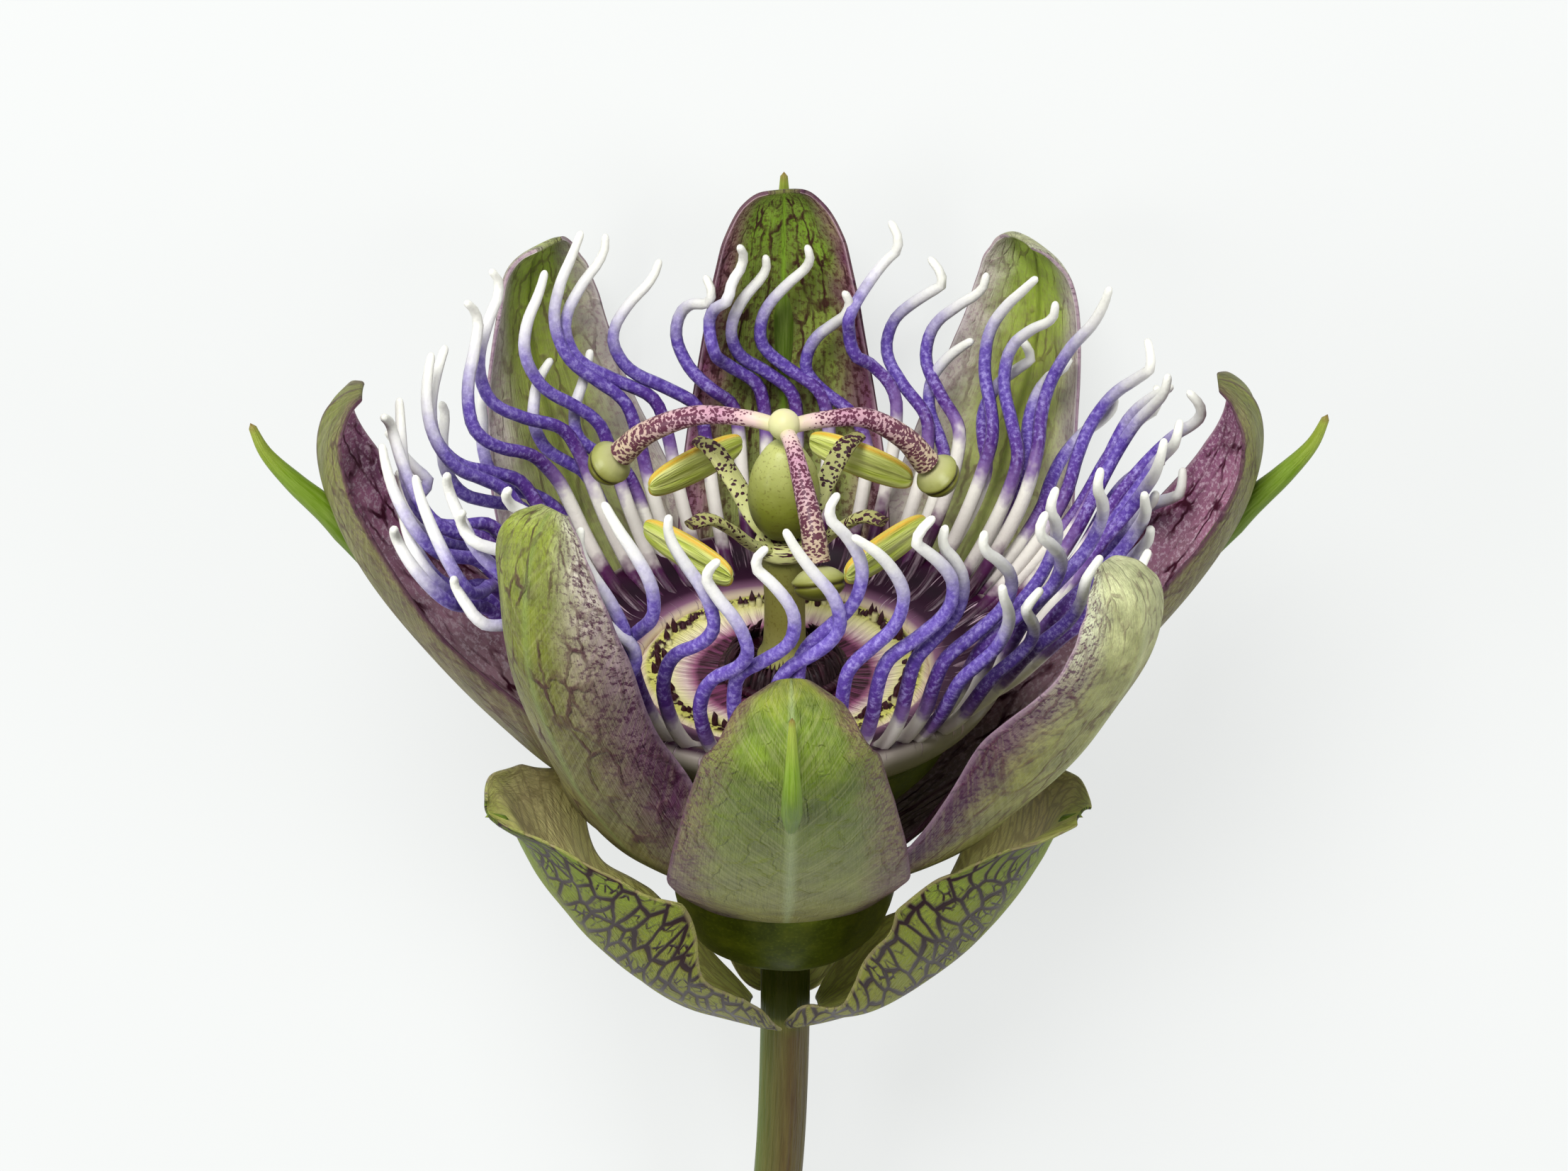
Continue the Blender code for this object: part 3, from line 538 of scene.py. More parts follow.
def bract_paint(ground, edge_colour, vein_colour, strength):
    """ground is a row of colours from foot to tip, and strength is how much of the veins shows."""

    def paint(tree):
        mm, across, along = shares(tree, 2 * BRACT_HALF, BRACT_LONG)
        signed = add(tree, "Math", {0: across, 1: 2.0, 2: -1.0}, operation="MULTIPLY_ADD")
        half = add(tree, "Math", {0: signed}, operation="SIGN")
        aside = add(tree, "Math", {0: signed}, operation="ABSOLUTE")
        out = add(tree, "Math", {0: aside, 1: BRACT_HALF}, operation="MULTIPLY")
        up = add(tree, "Math", {0: along, 1: BRACT_LONG}, operation="MULTIPLY")
        up = add(tree, "Math", {0: out, 1: -VEIN_SLANT, 2: up}, operation="MULTIPLY_ADD")
        up = add(tree, "Math", {0: half, 1: HALVES_APART, 2: up}, operation="MULTIPLY_ADD")
        slanted = add(tree, "CombineXYZ", {0: out, 1: up})

        cloud = add(tree, "TexNoise", {"Vector": mm, "Scale": 0.25, "Detail": 4})
        grain = fibres(tree, mm, thick=0.2, long=1.6, low=0.3, high=0.75)
        colour = add(tree, "ValToRGB", {0: ragged(tree, along, cloud, reach=0.3)}, stops=ground)
        colour = stained(tree, colour, "d8dac0", grain, 0.06)

        coarse = vein_net(tree, slanted, *COARSE_CELL, VEIN_SHARE, bend=0.5)
        fine = vein_net(tree, slanted, *FINE_CELL, VEIN_SHARE, bend=0.6)
        some = fibres(tree, mm, thick=2.4, long=2.4, low=0.45, high=0.6)
        fine = add(tree, "Math", {0: fine, 1: some}, operation="MULTIPLY")
        net = add(tree, "Math", {0: coarse, 1: fine}, operation="MAXIMUM")
        # A band a little wider than each vein is darkened brown: painted shade beside the sunk veins.
        vein_shade = vein_net(tree, slanted, *COARSE_CELL, VEIN_SHADE_SHARE, bend=0.5)
        reach = add(tree, "ValToRGB", {0: aside}, stops=[(0.1, 0), (0.26, 1)])
        seen = add(tree, "Math", {0: reach, 1: strength}, operation="MULTIPLY")
        vein_shade = add(tree, "Math", {0: vein_shade, 1: seen}, operation="MULTIPLY")
        colour = stained(tree, colour, "6b4a3c", vein_shade, 0.15)
        drawn = add(tree, "Math", {0: net, 1: seen}, operation="MULTIPLY")
        colour = add(tree, "MixRGB", {0: drawn, 1: colour, 2: vein_colour})

        ribs = add(tree, "ValToRGB", {0: aside}, stops=[(0.0, 0.3), (0.05, 0)])
        colour = add(tree, "MixRGB", {0: ribs, 1: colour, 2: "aab48c"})
        brink = add(tree, "ValToRGB", {0: aside}, stops=[(0.965, 0), (0.985, 0.6)])
        colour = add(tree, "MixRGB", {0: brink, 1: colour, 2: edge_colour})
        return colour, add(tree, "MixRGB", {0: drawn, 1: grain, 2: "000000"})

    return paint


# Fresh leaf, grown: soft waxy green with thick sunken maroon veins and a dry pale edge.
BRACT_SKIN = living("fresh bract skin, maroon net", bract_paint(
    ground=[(0.0, "969440"), (0.25, "929638"), (0.55, "869024"), (0.85, "849822"), (1.0, "8aa030")],
    edge_colour="a8a070", vein_colour="2c0a16", strength=1.0), relief=0.25, sheen=0.02)
# The lining of the same leaf: thinner skinned and cream green, so that the veins show through it faintly. Its ground
# is painted much paler than the tissue: painted light in the hollow under the flower, where the lamps hardly reach.
BRACT_LINING = living("fresh bract lining, painted light on cream green", bract_paint(
    ground=[(0.0, "dce080"), (0.3, "f0ec9c"), (0.7, "f4e8ac"), (1.0, "c8d068")],
    edge_colour="c8bc96", vein_colour="6c4434", strength=0.3), relief=0.15, rough=MATT)

# %% [markdown]
# ## Awn skin
# The awns behind the sepals' tips, and the points of the bracts, are plain bright green horns that turn brown at
# the very end.

# %% Paint for awns


def awn_paint(tree):
    mm, _, along = shares(tree, wide=6.0, long=16.0)
    colour = add(tree, "ValToRGB", {0: along}, stops=[
        (0.2, "5c7420"), (0.7, "6f8a1c"), (0.95, "94a040"), (1.0, "7a5a30")])
    streaks = fibres(tree, mm, thick=0.25, long=3.0)
    return stained(tree, colour, "c4d08a", streaks, 0.2), streaks


# Young horn, grown: smooth firm green with a soft gloss.
AWN_SKIN = living("awn skin, bright green", awn_paint, relief=0.05)

# %% [markdown]
# ## Sepals and petals
# A passion flower's cup is made of two whorls. The sepals are boat-shaped, green outside, and each carries a green
# horn, the awn, on a keel behind its tip. The petals are softer and paler. Low down they all lie round one bowl;
# higher up each one turns into a boat with its own curved back. The front sepal overlaps the petals beside it,
# the side sepals bulge out between them, and the back one stays inside.

# %% Shapes of the blades
TEPAL_LINE = [
    (9.0, 8.6), (11.2, 10.4), (13.9, 12.7), (17.3, 15.8), (20.7, 19.4), (25.8, 26.0), (29.6, 32.2),
    (32.3, 38.0), (33.4, 43.0), (32.9, 46.6), (31.4, 48.4), (30.1, 48.9),
]
SEPAL_HALF_WIDTHS = [
    (0, 4.6), (0.1, 6.4), (0.2, 8.3), (0.35, 9.3), (0.5, 9.1), (0.65, 8.5), (0.8, 7.4), (0.9, 5.8), (0.96, 3.9),
    (1, 1.2),
]
INNER_SEPAL_HALF_WIDTHS = [
    (0, 4.2), (0.1, 5.9), (0.2, 7.9), (0.35, 8.8), (0.5, 8.3), (0.65, 7.6), (0.8, 6.8), (0.9, 5.5), (0.96, 3.7),
    (1, 1.2),
]
PETAL_HALF_WIDTHS = [
    (0, 4.8), (0.15, 7.2), (0.3, 8.9), (0.45, 9.0), (0.6, 8.4), (0.75, 7.3), (0.85, 6.2), (0.92, 4.9), (0.97, 3.3),
    (1, 1.2),
]
TEPAL_THICKNESS = 0.7
EDGE_SHARE = 0.45  # share of a blade's thickness that is left at its edge
STAYS = 9.0  # an inset that fades out only this far along stays the same up to the tip, which is at 1
# Each row: name, azimuth, how far its foot lies inside the common line and the share at which that has faded out,
# how wide and how high its upper part stands, the share from which it does so, its width, the radius across its
# boat, the shares between which it becomes that boat, and its skins.
SEPALS = [
    ("sepal_right", 1.0, 3.3, 0.7, 1.03, 1.00, 0.05, 0.97, 7.0, (0.0, 0.25), (SIDE_SEPAL_SKIN, SEPAL_LINING)),
    ("sepal_back", 90.0, 3.15, STAYS, 0.775, 1.10, 0.12, 1.00, 6.2, (0.48, 0.95),
     (SIDE_SEPAL_SKIN, BACK_SEPAL_LINING)),
    ("sepal_left", 180.0, 3.15, 0.6, 1.00, 0.99, 0.40, 1.00, 7.0, (0.0, 0.25), (SIDE_SEPAL_SKIN, SEPAL_LINING)),
    ("sepal_front", 271.0, -0.55, STAYS, 0.885, 0.84, 0.46, 0.98, 7.0, (0.30, 0.95),
     (FRONT_SEPAL_SKIN, SEPAL_LINING)),
]
PETALS = [
    ("petal_back_right", 51.0, 1.2, STAYS, 0.975, 1.01, 0.46, 0.98, 5.6, (0.48, 0.95),
     (RIGHT_PETAL_SKIN, PETAL_LINING)),
    ("petal_back_left", 129.0, 1.2, STAYS, 0.97, 1.00, 0.46, 0.98, 5.6, (0.48, 0.95),
     (LEFT_PETAL_SKIN, PETAL_LINING)),
    ("petal_front_left", 229.0, 1.1, STAYS, 0.82, 1.00, 0.10, 1.00, 6.5, (0.20, 0.55),
     (LEFT_PETAL_SKIN, PETAL_LINING)),
    ("petal_front_right", 320.0, 1.1, STAYS, 0.99, 0.925, 0.10, 0.98, 6.8, (0.25, 0.60),
     (RIGHT_PETAL_SKIN, PETAL_LINING)),
]
AWN_SHARE = 0.76  # where an awn leaves its sepal
AWN_STEPS = [(0.9, 0.8), (3.0, 3.0), (5.0, 5.5), (6.0, 8.0)]
FRONT_AWN_STEPS = [(0.8, 1.2), (1.1, 3.2), (0.9, 5.4), (0.6, 7.4)]
BACK_AWN_STEPS = [(0.5, 1.6), (0.5, 4.8), (0.1, 8.4), (-0.4, 11.6)]
AWN_RADII = [0.3, 0.75, 1.0, 0.95, 0.75, 0.5, 0.26]
FRONT_AWN_SLIMMER = 0.75

# %% [markdown]
# A blade is drawn as its outer face only: a grid bent round the flower and then round its own keel. Long soft
# folds, a raised keel and a crinkled edge are added to the same formula. A Solidify modifier gives it its flesh,
# thin at the edge and full in the middle, and one level of subdivision rounds it off.

# %% A blade
BLADE_CELLS = (28, 56)
TIP_CROWD = 1.35  # above 1, the rows of the grid crowd towards the tip, which bends most
KEEL_HALF = 0.55
WAVES = 17  # along a blade, in radians
FOLD_CELLS = (0.32, 5)  # long soft folds, for each millimetre across and for the whole length


def add_blade(bm, line, half_widths, width, azimuth, cup, cup_shares, keel, wave, fold, tint):
    """The outer face of a leaf or petal, turned to its azimuth. Between the two cup_shares it changes from a
    surface round the flower's axis into a boat whose radius across is cup. keel, wave and fold are heights."""
    shares, halves = zip(*half_widths)
    halves = [half * width for half in halves]
    turned = Matrix.Rotation(math.radians(azimuth), 3, "Z")

    def place(across, along):
        across, share = 2 * across - 1, 1 - (1 - along) ** TIP_CROWD
        radius, height = line.at(share)
        onward = line.direction(share)
        outward = np.array([onward[1], 0, -onward[0]])
        reach = across * np.interp(share, shares, halves)
        turn = reach / radius
        round_axis = np.array([radius * math.cos(turn), radius * math.sin(turn), height])
        bend = min(radius, cup)
        turn = reach / bend
        boat = np.array([radius, bend * math.sin(turn), height]) - outward * bend * (1 - math.cos(turn))
        point = round_axis + (boat - round_axis) * eased(share, *cup_shares)
        lift = wave * math.sin(share * WAVES + tint * 9) * abs(across) ** 3
        lift += keel * math.exp(-((reach / KEEL_HALF) ** 2)) * eased(share, 0.1, 0.8) * (1 - eased(share, 0.9, 1))
        cloud = noise.noise(Vector((reach * FOLD_CELLS[0], share * FOLD_CELLS[1], tint * 20)))
        lift += fold * cloud * eased(share, 0, 0.2)
        return turned @ Vector(point + outward * lift)

    add_sheet(bm, *BLADE_CELLS, place, tint)


def thickened(bm, thickness):
    """The blade with its thickness inwards, less of it towards the edges, and a smooth rim, as a new bmesh."""
    mesh = bpy.data.meshes.new("blank")
    bm.to_mesh(mesh)
    bm.free()
    for _ in range(2):  # an empty slot each for the skin and the lining, or Solidify keeps to the first
        mesh.materials.append(None)
    blank = bpy.data.objects.new("blank", mesh)
    bpy.context.scene.collection.objects.link(blank)
    group = blank.vertex_groups.new(name="body")
    uv = mesh.uv_layers["UVMap"].data
    for loop in mesh.loops:
        across, along = uv[loop.index].uv
        inward = min(1 - abs(2 * across - 1), 2 * (1 - along), 2 * along + 0.3)
        group.add([loop.vertex_index], 0.05 + 0.95 * eased(inward, 0, 0.5), "REPLACE")
    solid = blank.modifiers.new("thickness", "SOLIDIFY")
    solid.thickness = thickness
    solid.offset = -1
    solid.vertex_group = "body"
    solid.thickness_vertex_group = EDGE_SHARE
    solid.material_offset = 1
    smooth = blank.modifiers.new("smooth", "SUBSURF")
    smooth.levels = smooth.render_levels = 1
    bpy.context.view_layer.update()
    finished = bpy.data.meshes.new_from_object(blank.evaluated_get(bpy.context.evaluated_depsgraph_get()))
    bpy.data.objects.remove(blank)
    made = bmesh.new()
    made.from_mesh(finished)
    bpy.data.meshes.remove(finished)
    return made


def add_horn(bm, path, radii, around, tint, up=(0, 0, 1)):
    """A closed tube in a blade's third skin. It is closed on its own, because the blade's faces are right."""
    horn = new_mesh()
    add_tube(horn, path, radii, around, up=up, tint=tint, slot=2)
    close(horn)
    mesh = bpy.data.meshes.new("horn")
    horn.to_mesh(mesh)
    horn.free()
    bm.from_mesh(mesh)
    bpy.data.meshes.remove(mesh)


# %% Sepals and petals
AWN_RINGS, AWN_SIDES = 40, 14
AWN_SHAPES = {"sepal_back": (BACK_AWN_STEPS, 1), "sepal_front": (FRONT_AWN_STEPS, FRONT_AWN_SLIMMER)}


def tepal_line(inset, fade, spread, rise, start):
    """The common tepal line, moved in by inset until it fades out, and wider or higher in its upper part."""
    whole = len(TEPAL_LINE) - 1
    points = []
    for step, (radius, height) in enumerate(TEPAL_LINE):
        upper = eased(step / whole, start, 0.85)
        radius -= inset * (1 - eased(step / whole, 0, fade))
        points.append((radius * (1 + (spread - 1) * upper), height * (1 + (rise - 1) * upper)))
    return Line(points)


def tepal(row, half_widths, tint, keel, wave, fold):
    """The fleshed blade of a sepal or petal, and the line that its keel follows."""
    _, azimuth, inset, fade, spread, rise, start, width, cup, cup_shares, _ = row
    line = tepal_line(inset, fade, spread, rise, start)
    bm = new_mesh()
    add_blade(bm, line, half_widths, width, azimuth, cup, cup_shares, keel, wave, fold, tint)
    return thickened(bm, TEPAL_THICKNESS), line


for number, row in enumerate(SEPALS):
    name, azimuth, inset, *_, skins = row
    tint = number / len(SEPALS)
    half_widths = INNER_SEPAL_HALF_WIDTHS if inset > 0 else SEPAL_HALF_WIDTHS
    bm, line = tepal(row, half_widths, tint, keel=0.3, wave=0.15, fold=0.25)

    steps, slimmer = AWN_SHAPES.get(name, (AWN_STEPS, 1))
    root = line.at(AWN_SHARE)
    awn_line = Line(
        [line.at(AWN_SHARE - 0.12) - (0.5, 0), line.at(AWN_SHARE - 0.04) - (0.2, 0)]
        + [root + np.array(step) for step in steps]
    )
    places = np.linspace(0, 1, AWN_RINGS)
    path = [at_azimuth(awn_line.at(share), azimuth) for share in places]
    radii = np.interp(places, np.linspace(0, 1, len(AWN_RADII)), AWN_RADII) * slimmer
    radii[-1] = 0
    add_horn(bm, path, radii, AWN_SIDES, tint, up=at_azimuth((0, 0, 1), azimuth))
    piece(bm, name, [*skins, AWN_SKIN])

for number, row in enumerate(PETALS):
    bm, _ = tepal(row, PETAL_HALF_WIDTHS, number / len(PETALS), keel=0.12, wave=0.3, fold=0.4)
    piece(bm, row[0], row[-1])

# %% [markdown]
# ## Bracts
# Three bracts stand round the stem below the flower. They are made as the tepals are, with a cup from the foot on,
# a stronger wave towards the tip, and a small hard point at the tip, the mucro, that is a short bent tube.

# %% Bracts
BRACT_LINE = [
    (2.7, -6.0), (3.9, -5.3), (6.8, -3.5), (10.3, -0.9), (13.9, 2.8), (17.0, 7.0), (19.3, 10.9), (21.0, 14.5),
    (22.3, 17.4), (24.2, 19.2),
]
BRACT_HALF_WIDTHS = [
    (0, 2.6), (0.06, 5.2), (0.15, 7.9), (0.28, 9.4), (0.42, 10.3), (0.58, 12.0), (0.72, 12.8), (0.85, 10.2),
    (0.94, 5.6), (1, 1.2),
]
BRACT_CUP_SHARES = (0.0, 0.2)
# Each row: name, azimuth, spread, rise, width and the radius across it.
BRACTS = [
    ("bract_left", 207.0, 1.0, 1.0, 1.0, 11.2),
    ("bract_right", 333.0, 1.0, 1.0, 0.98, 11.6),
    ("bract_back", 90.0, 0.72, 0.8, 0.78, 13.0),
]
BRACT_THICKNESS = 0.6
MUCRO_SHARE = 0.98  # where the hard point leaves its bract
MUCRO_RADII = [0.3, 0.5, 0.42, 0.3, 0.2, 0.0]
MUCRO_RINGS, MUCRO_SIDES = 14, 10

for number, (name, azimuth, spread, rise, width, cup) in enumerate(BRACTS):
    tint = number / len(BRACTS)
    foot = BRACT_LINE[0][1]
    line = Line([
        (radius * (1 + (spread - 1) * min(step / 4, 1)), foot + (height - foot) * rise)
        for step, (radius, height) in enumerate(BRACT_LINE)
    ])
    bm = new_mesh()
    add_blade(bm, line, BRACT_HALF_WIDTHS, width, azimuth, cup, BRACT_CUP_SHARES, keel=0.15, wave=0.45, fold=0.35,
              tint=tint)
    bm = thickened(bm, BRACT_THICKNESS)

    end, onward = line.at(MUCRO_SHARE), line.direction(MUCRO_SHARE)
    bent = Line([end - onward * 1.2, end, end + onward * 0.5, end + onward * 0.9 + (0.1, -0.3)])
    places = np.linspace(0, 1, MUCRO_RINGS)
    path = [at_azimuth(bent.at(share) - (0.15, 0), azimuth) for share in places]
    radii = np.interp(places, np.linspace(0, 1, len(MUCRO_RADII)), MUCRO_RADII)
    add_horn(bm, path, radii, MUCRO_SIDES, tint)
    piece(bm, name, [BRACT_SKIN, BRACT_LINING, AWN_SKIN])

# %% [markdown]
# ## Receptacle and stem
# The receptacle is the dark green bowl that everything grows from, and the stem carries it. Both have the smooth
# rind of a young shoot. The bowl is turned, with five faint lobes; the stem is a tube with five low ribs, cut off
# square where it was picked.

# %% Receptacle and stem
RECEPTACLE_PROFILE = [
    (0.0, 1.0), (2.5, 1.0), (5.5, 1.6), (7.4, 3.0), (8.3, 5.3), (8.4, 7.5), (7.8, 8.2), (4.3, 8.4),
    (4.5, 9.6), (6.4, 12.4), (9.4, 16.2), (12.0, 19.4), (12.9, 21.8), (12.6, 22.8), (0.0, 22.8),
]
STEM_LINE = [(0.0, 0.7), (0.0, -8.0), (-0.4, -20.0), (-1.5, -32.0), (-3.2, -43.0)]
STEM_RADIUS = 1.9
STEM_RINGS, STEM_SIDES = 90, 40
STEM_RIBS = (5, 0.035)


def receptacle_paint(tree):
    mm, *_ = shares(tree, wide=50.0, long=60.0)
    cloud = add(tree, "TexNoise", {"Vector": mm, "Scale": 0.5, "Detail": 5, "Roughness": 0.65})
    colour = add(tree, "ValToRGB", {0: cloud}, stops=[(0.3, "454e08"), (0.5, "57620c"), (0.7, "6c741a")])
    pores = add(tree, "TexNoise", {"Vector": mm, "Scale": 4.0, "Detail": 3})
    pores = add(tree, "ValToRGB", {0: pores}, stops=[(0.55, 0), (0.7, 0.4)])
    return add(tree, "MixRGB", {0: pores, 1: colour, 2: "7c8430"}), cloud


def stem_paint(tree):
    mm, across, along = shares(tree, wide=11.3, long=44.0)
    streaks = fibres(tree, mm, thick=0.35, long=6.0)
    around = add(tree, "ValToRGB", {0: across}, stops=[
        (0.0, "4e4620"), (0.3, "5a4c28"), (0.45, "605a28"), (0.56, "566c24"), (0.64, "5c6232"), (0.8, "5c4a30"),
        (1.0, "4e4620")])
    upper = add(tree, "ValToRGB", {0: along}, stops=[(0.14, 1), (0.19, 0)])
    colour = add(tree, "MixRGB", {0: upper, 1: around, 2: "4c5814"})
    return stained(tree, colour, "7a7442", streaks, 0.45), streaks


# Young rind, grown: smooth waxy green with fine pores, and on the stem fine ribs that turn olive brown with age.
RECEPTACLE_RIND = living("young rind, dark green", receptacle_paint, relief=0.06, rough=(0.4, 0.55))
STEM_RIND = living("young stem rind, olive", stem_paint, relief=0.08, rough=(0.4, 0.6))

turned_piece("receptacle", RECEPTACLE_PROFILE, around=72, rows=90, lobes=[(5, 0.06), (13, 0.03)],
             skin=RECEPTACLE_RIND)

stem_line = Line([(x, 0, z) for x, z in STEM_LINE])
path = [stem_line.at(share) for share in np.linspace(0, 1, STEM_RINGS)]
bm = new_mesh()
add_tube(bm, path, [STEM_RADIUS] * STEM_RINGS, STEM_SIDES, up=(0, 1, 0), ribs=STEM_RIBS)
close(bm)
piece(bm, "stem", [STEM_RIND])

# %% [markdown]
# ## Floor of the corona, and the dark ring round the column
# Inside the long filaments the flower is a shallow cream dish. A ring of tiny hairs with maroon tips stands on it,
# which is why the dark ring looks broken into blotches. In the middle is a nearly black ring of short hairs that
# closes round the column. The dish is turned, and the hairs are short tubes set round it by a seeded draw.

# %% Paint for the floor
FLOOR_PROFILE = [(0.0, 23.1), (10.5, 23.1), (10.5, 24.9), (9.4, 25.1), (7.0, 24.6), (5.0, 24.5), (0.0, 24.5)]
INNER_PROFILE = [(0.0, 24.8), (4.4, 24.8), (4.8, 25.1), (4.2, 25.4), (0.0, 25.5)]


def floor_paint(tree):
    mm, _, along = shares(tree, wide=52.0, long=23.0)
    rays = fibres(tree, mm, thick=0.45, long=5.0, low=0.4, high=0.62)
    ground = add(tree, "ValToRGB", {0: along}, stops=[
        (0.5, "d6c6b0"), (0.55, "dcd0b8"), (0.575, "c6c66c"), (0.61, "ccca7c"), (0.65, "e6e0b4"), (0.69, "e0ccc6"),
        (0.72, "a8708c"), (0.735, "300618"), (1.0, "170a09")])
    reddish = add(tree, "ValToRGB", {0: along}, stops=[(0.5, 0.8), (0.57, 0.1), (0.64, 0.1), (0.7, 0.6), (0.78, 0.9)])
    colour = stained(tree, ground, "8a4a70", rays, reddish)
    spots = add(tree, "Mapping", {"Vector": mm, "Scale": (1 / 1.5, 1 / 1.3, 1)})
    spots = add(tree, "TexNoise", {"Vector": spots, "Scale": 1, "Detail": 3, "Roughness": 0.7})
    spots = add(tree, "ValToRGB", {0: spots}, stops=[(0.5, 0), (0.53, 1)])
    ring = add(tree, "ValToRGB", {0: along}, stops=[(0.565, 0), (0.58, 1), (0.605, 1), (0.62, 0)])
    return stained(tree, colour, "340a18", spots, ring), rays


def hair_paint(foot, tip, dark_share):
    """Short hairs of one colour with tips of another; a hair's tint decides where the second begins."""

    def paint(tree):
        mm, _, along = shares(tree, wide=2.0, long=3.0)
        tint = add(tree, "Attribute", output="Fac", attribute_name="tint")
        begins = add(tree, "Math", {0: tint, 1: 0.6, 2: along}, operation="MULTIPLY_ADD")
        dark = add(tree, "ValToRGB", {0: begins}, stops=[(dark_share, 0), (dark_share + 0.12, 1)])
        streaks = fibres(tree, mm, thick=0.3, long=1.0)
        colour = add(tree, "MixRGB", {0: dark, 1: foot, 2: tip})
        return stained(tree, colour, "b4949c", streaks, 0.1), streaks

    return paint


def centre_paint(tree):
    mm, _, along = shares(tree, wide=26.0, long=9.5)
    rays = fibres(tree, mm, thick=0.28, long=4.0, low=0.52, high=0.66)
    ground = add(tree, "ValToRGB", {0: along}, stops=[(0.45, "3c0c26"), (0.7, "240614"), (1.0, "120506")])
    return stained(tree, ground, "a87c88", rays, 0.3), rays


# %% Floor, hairs and dark ring
# Moist nectar dish, grown: smooth cream tissue with pinkish rays, and a satin gloss.
FLOOR_SKIN = living("nectar dish skin, cream", floor_paint, relief=0.1, rough=SATIN)
# Corona hairs, grown: moist and satin, the outer ones cream with maroon tips, the inner ones nearly black.
SHORT_HAIR = living("short corona hair, cream with maroon tips", hair_paint("d9d6a0", "3a0a1c", 0.75), relief=0.03)
DARK_HAIR = living("short corona hair, dark maroon", hair_paint("1c060f", "34101f", 0.8), relief=0.03)
# Nectar ring, grown: the same tissue as the dish, so dark that only its gloss shows the shape.
DARK_SKIN = living("nectar ring skin, dark maroon", centre_paint, relief=0.1, rough=SATIN)
SHORT_HAIRS, DARK_HAIRS = 110, 64
HAIR_SEED = 3
HAIR_SIDES, HAIR_RINGS = 6, 7


def add_hair(bm, steps, radii, azimuth, tint):
    """A short hair through some (radius, height) steps, in the second skin of its piece."""
    line = Line([at_azimuth(step, azimuth) for step in steps])
    places = np.linspace(0, 1, HAIR_RINGS)
    radii = np.interp(places, np.linspace(0, 1, len(radii)), radii)
    add_tube(bm, [line.at(share) for share in places], radii, HAIR_SIDES, tint=tint, slot=1)


draw = random.Random(HAIR_SEED)
bm = new_mesh()
add_turned(bm, FLOOR_PROFILE, around=96, rows=60, lobes=[(24, 0.05)])
for number in range(SHORT_HAIRS):
    azimuth = 360 / SHORT_HAIRS * number + draw.uniform(-1.5, 1.5)
    tall, foot = draw.uniform(0.7, 1.7), 9.2 + draw.uniform(-0.35, 0.35)
    steps = [(foot, 24.4), (foot + 0.1, 24.6 + tall * 0.6), (foot + 0.25, 24.6 + tall)]
    add_hair(bm, steps, [0.3, 0.26, 0.24, 0.0], azimuth, draw.random())
close(bm)
piece(bm, "corona_floor", [FLOOR_SKIN, SHORT_HAIR])

bm = new_mesh()
add_turned(bm, INNER_PROFILE, around=64, rows=30)
for number in range(DARK_HAIRS):
    azimuth = 360 / DARK_HAIRS * number + draw.uniform(-2, 2)
    tall = draw.uniform(1.6, 2.7)
    steps = [(4.3, 25.0), (3.9, 25 + tall * 0.6), (3.2, 25 + tall)]
    add_hair(bm, steps, [0.24, 0.22, 0.16, 0.0], azimuth, draw.random())
close(bm)
piece(bm, "inner_corona", [DARK_SKIN, DARK_HAIR])

# %% [markdown]
# ## Column and ovary
# A passion flower carries its ovary and stamens up on a column in the middle of the flower. Both are turned
# shapes, olive green and smooth as an unripe fruit, paler at the top.

# %% Column and ovary
COLUMN_PROFILE = [(0.0, 25.8), (2.0, 25.8), (1.6, 27.2), (1.5, 31.0), (1.6, 34.6), (0.0, 34.6)]
OVARY_PROFILE = [
    (0.0, 36.5), (1.3, 36.5), (2.2, 37.6), (2.6, 39.4), (2.3, 41.6), (1.5, 43.2), (0.9, 43.8), (0.0, 43.8),
]


def fruit_paint(foot, middle, top):
    """Colours from foot to top, under small brown dots."""

    def paint(tree):
        mm, _, along = shares(tree, wide=14.0, long=14.0)
        cloud = add(tree, "TexNoise", {"Vector": mm, "Scale": 0.7, "Detail": 4, "Roughness": 0.65})
        moved = add(tree, "Math", {0: cloud, 1: 0.2, 2: along}, operation="MULTIPLY_ADD")
        colour = add(tree, "ValToRGB", {0: moved}, stops=[(0.2, foot), (0.55, middle), (0.95, top)])
        spots = add(tree, "TexNoise", {"Vector": mm, "Scale": 3.0, "Detail": 2})
        spots = add(tree, "ValToRGB", {0: spots}, stops=[(0.58, 0), (0.66, 0.35)])
        return add(tree, "MixRGB", {0: spots, 1: colour, 2: "5c4a14"}), cloud

    return paint


# Unripe fruit skin, grown: a firm waxy green with a soft gloss.
OVARY_SKIN = living("unripe fruit skin, olive green", fruit_paint("5a5a18", "848a38", "b4b878"), relief=0.05,
                    rough=GLOSSY)
COLUMN_SKIN = living("column skin, pale olive", fruit_paint("b0ae74", "8a8648", "8a8a4c"), relief=0.05, rough=SATIN)
turned_piece("column", COLUMN_PROFILE, around=40, rows=50, lobes=[(5, 0.05)], skin=COLUMN_SKIN)
turned_piece("ovary", OVARY_PROFILE, around=48, rows=40, lobes=[(6, 0.04)], skin=OVARY_SKIN)

# %% [markdown]
# ## Stamens
# Four flat straps spread from a hub on the column, pale green and dotted with maroon. Under the end of each hangs
# an anther, a lime green boat with rims of orange pollen, and a groove along its face.

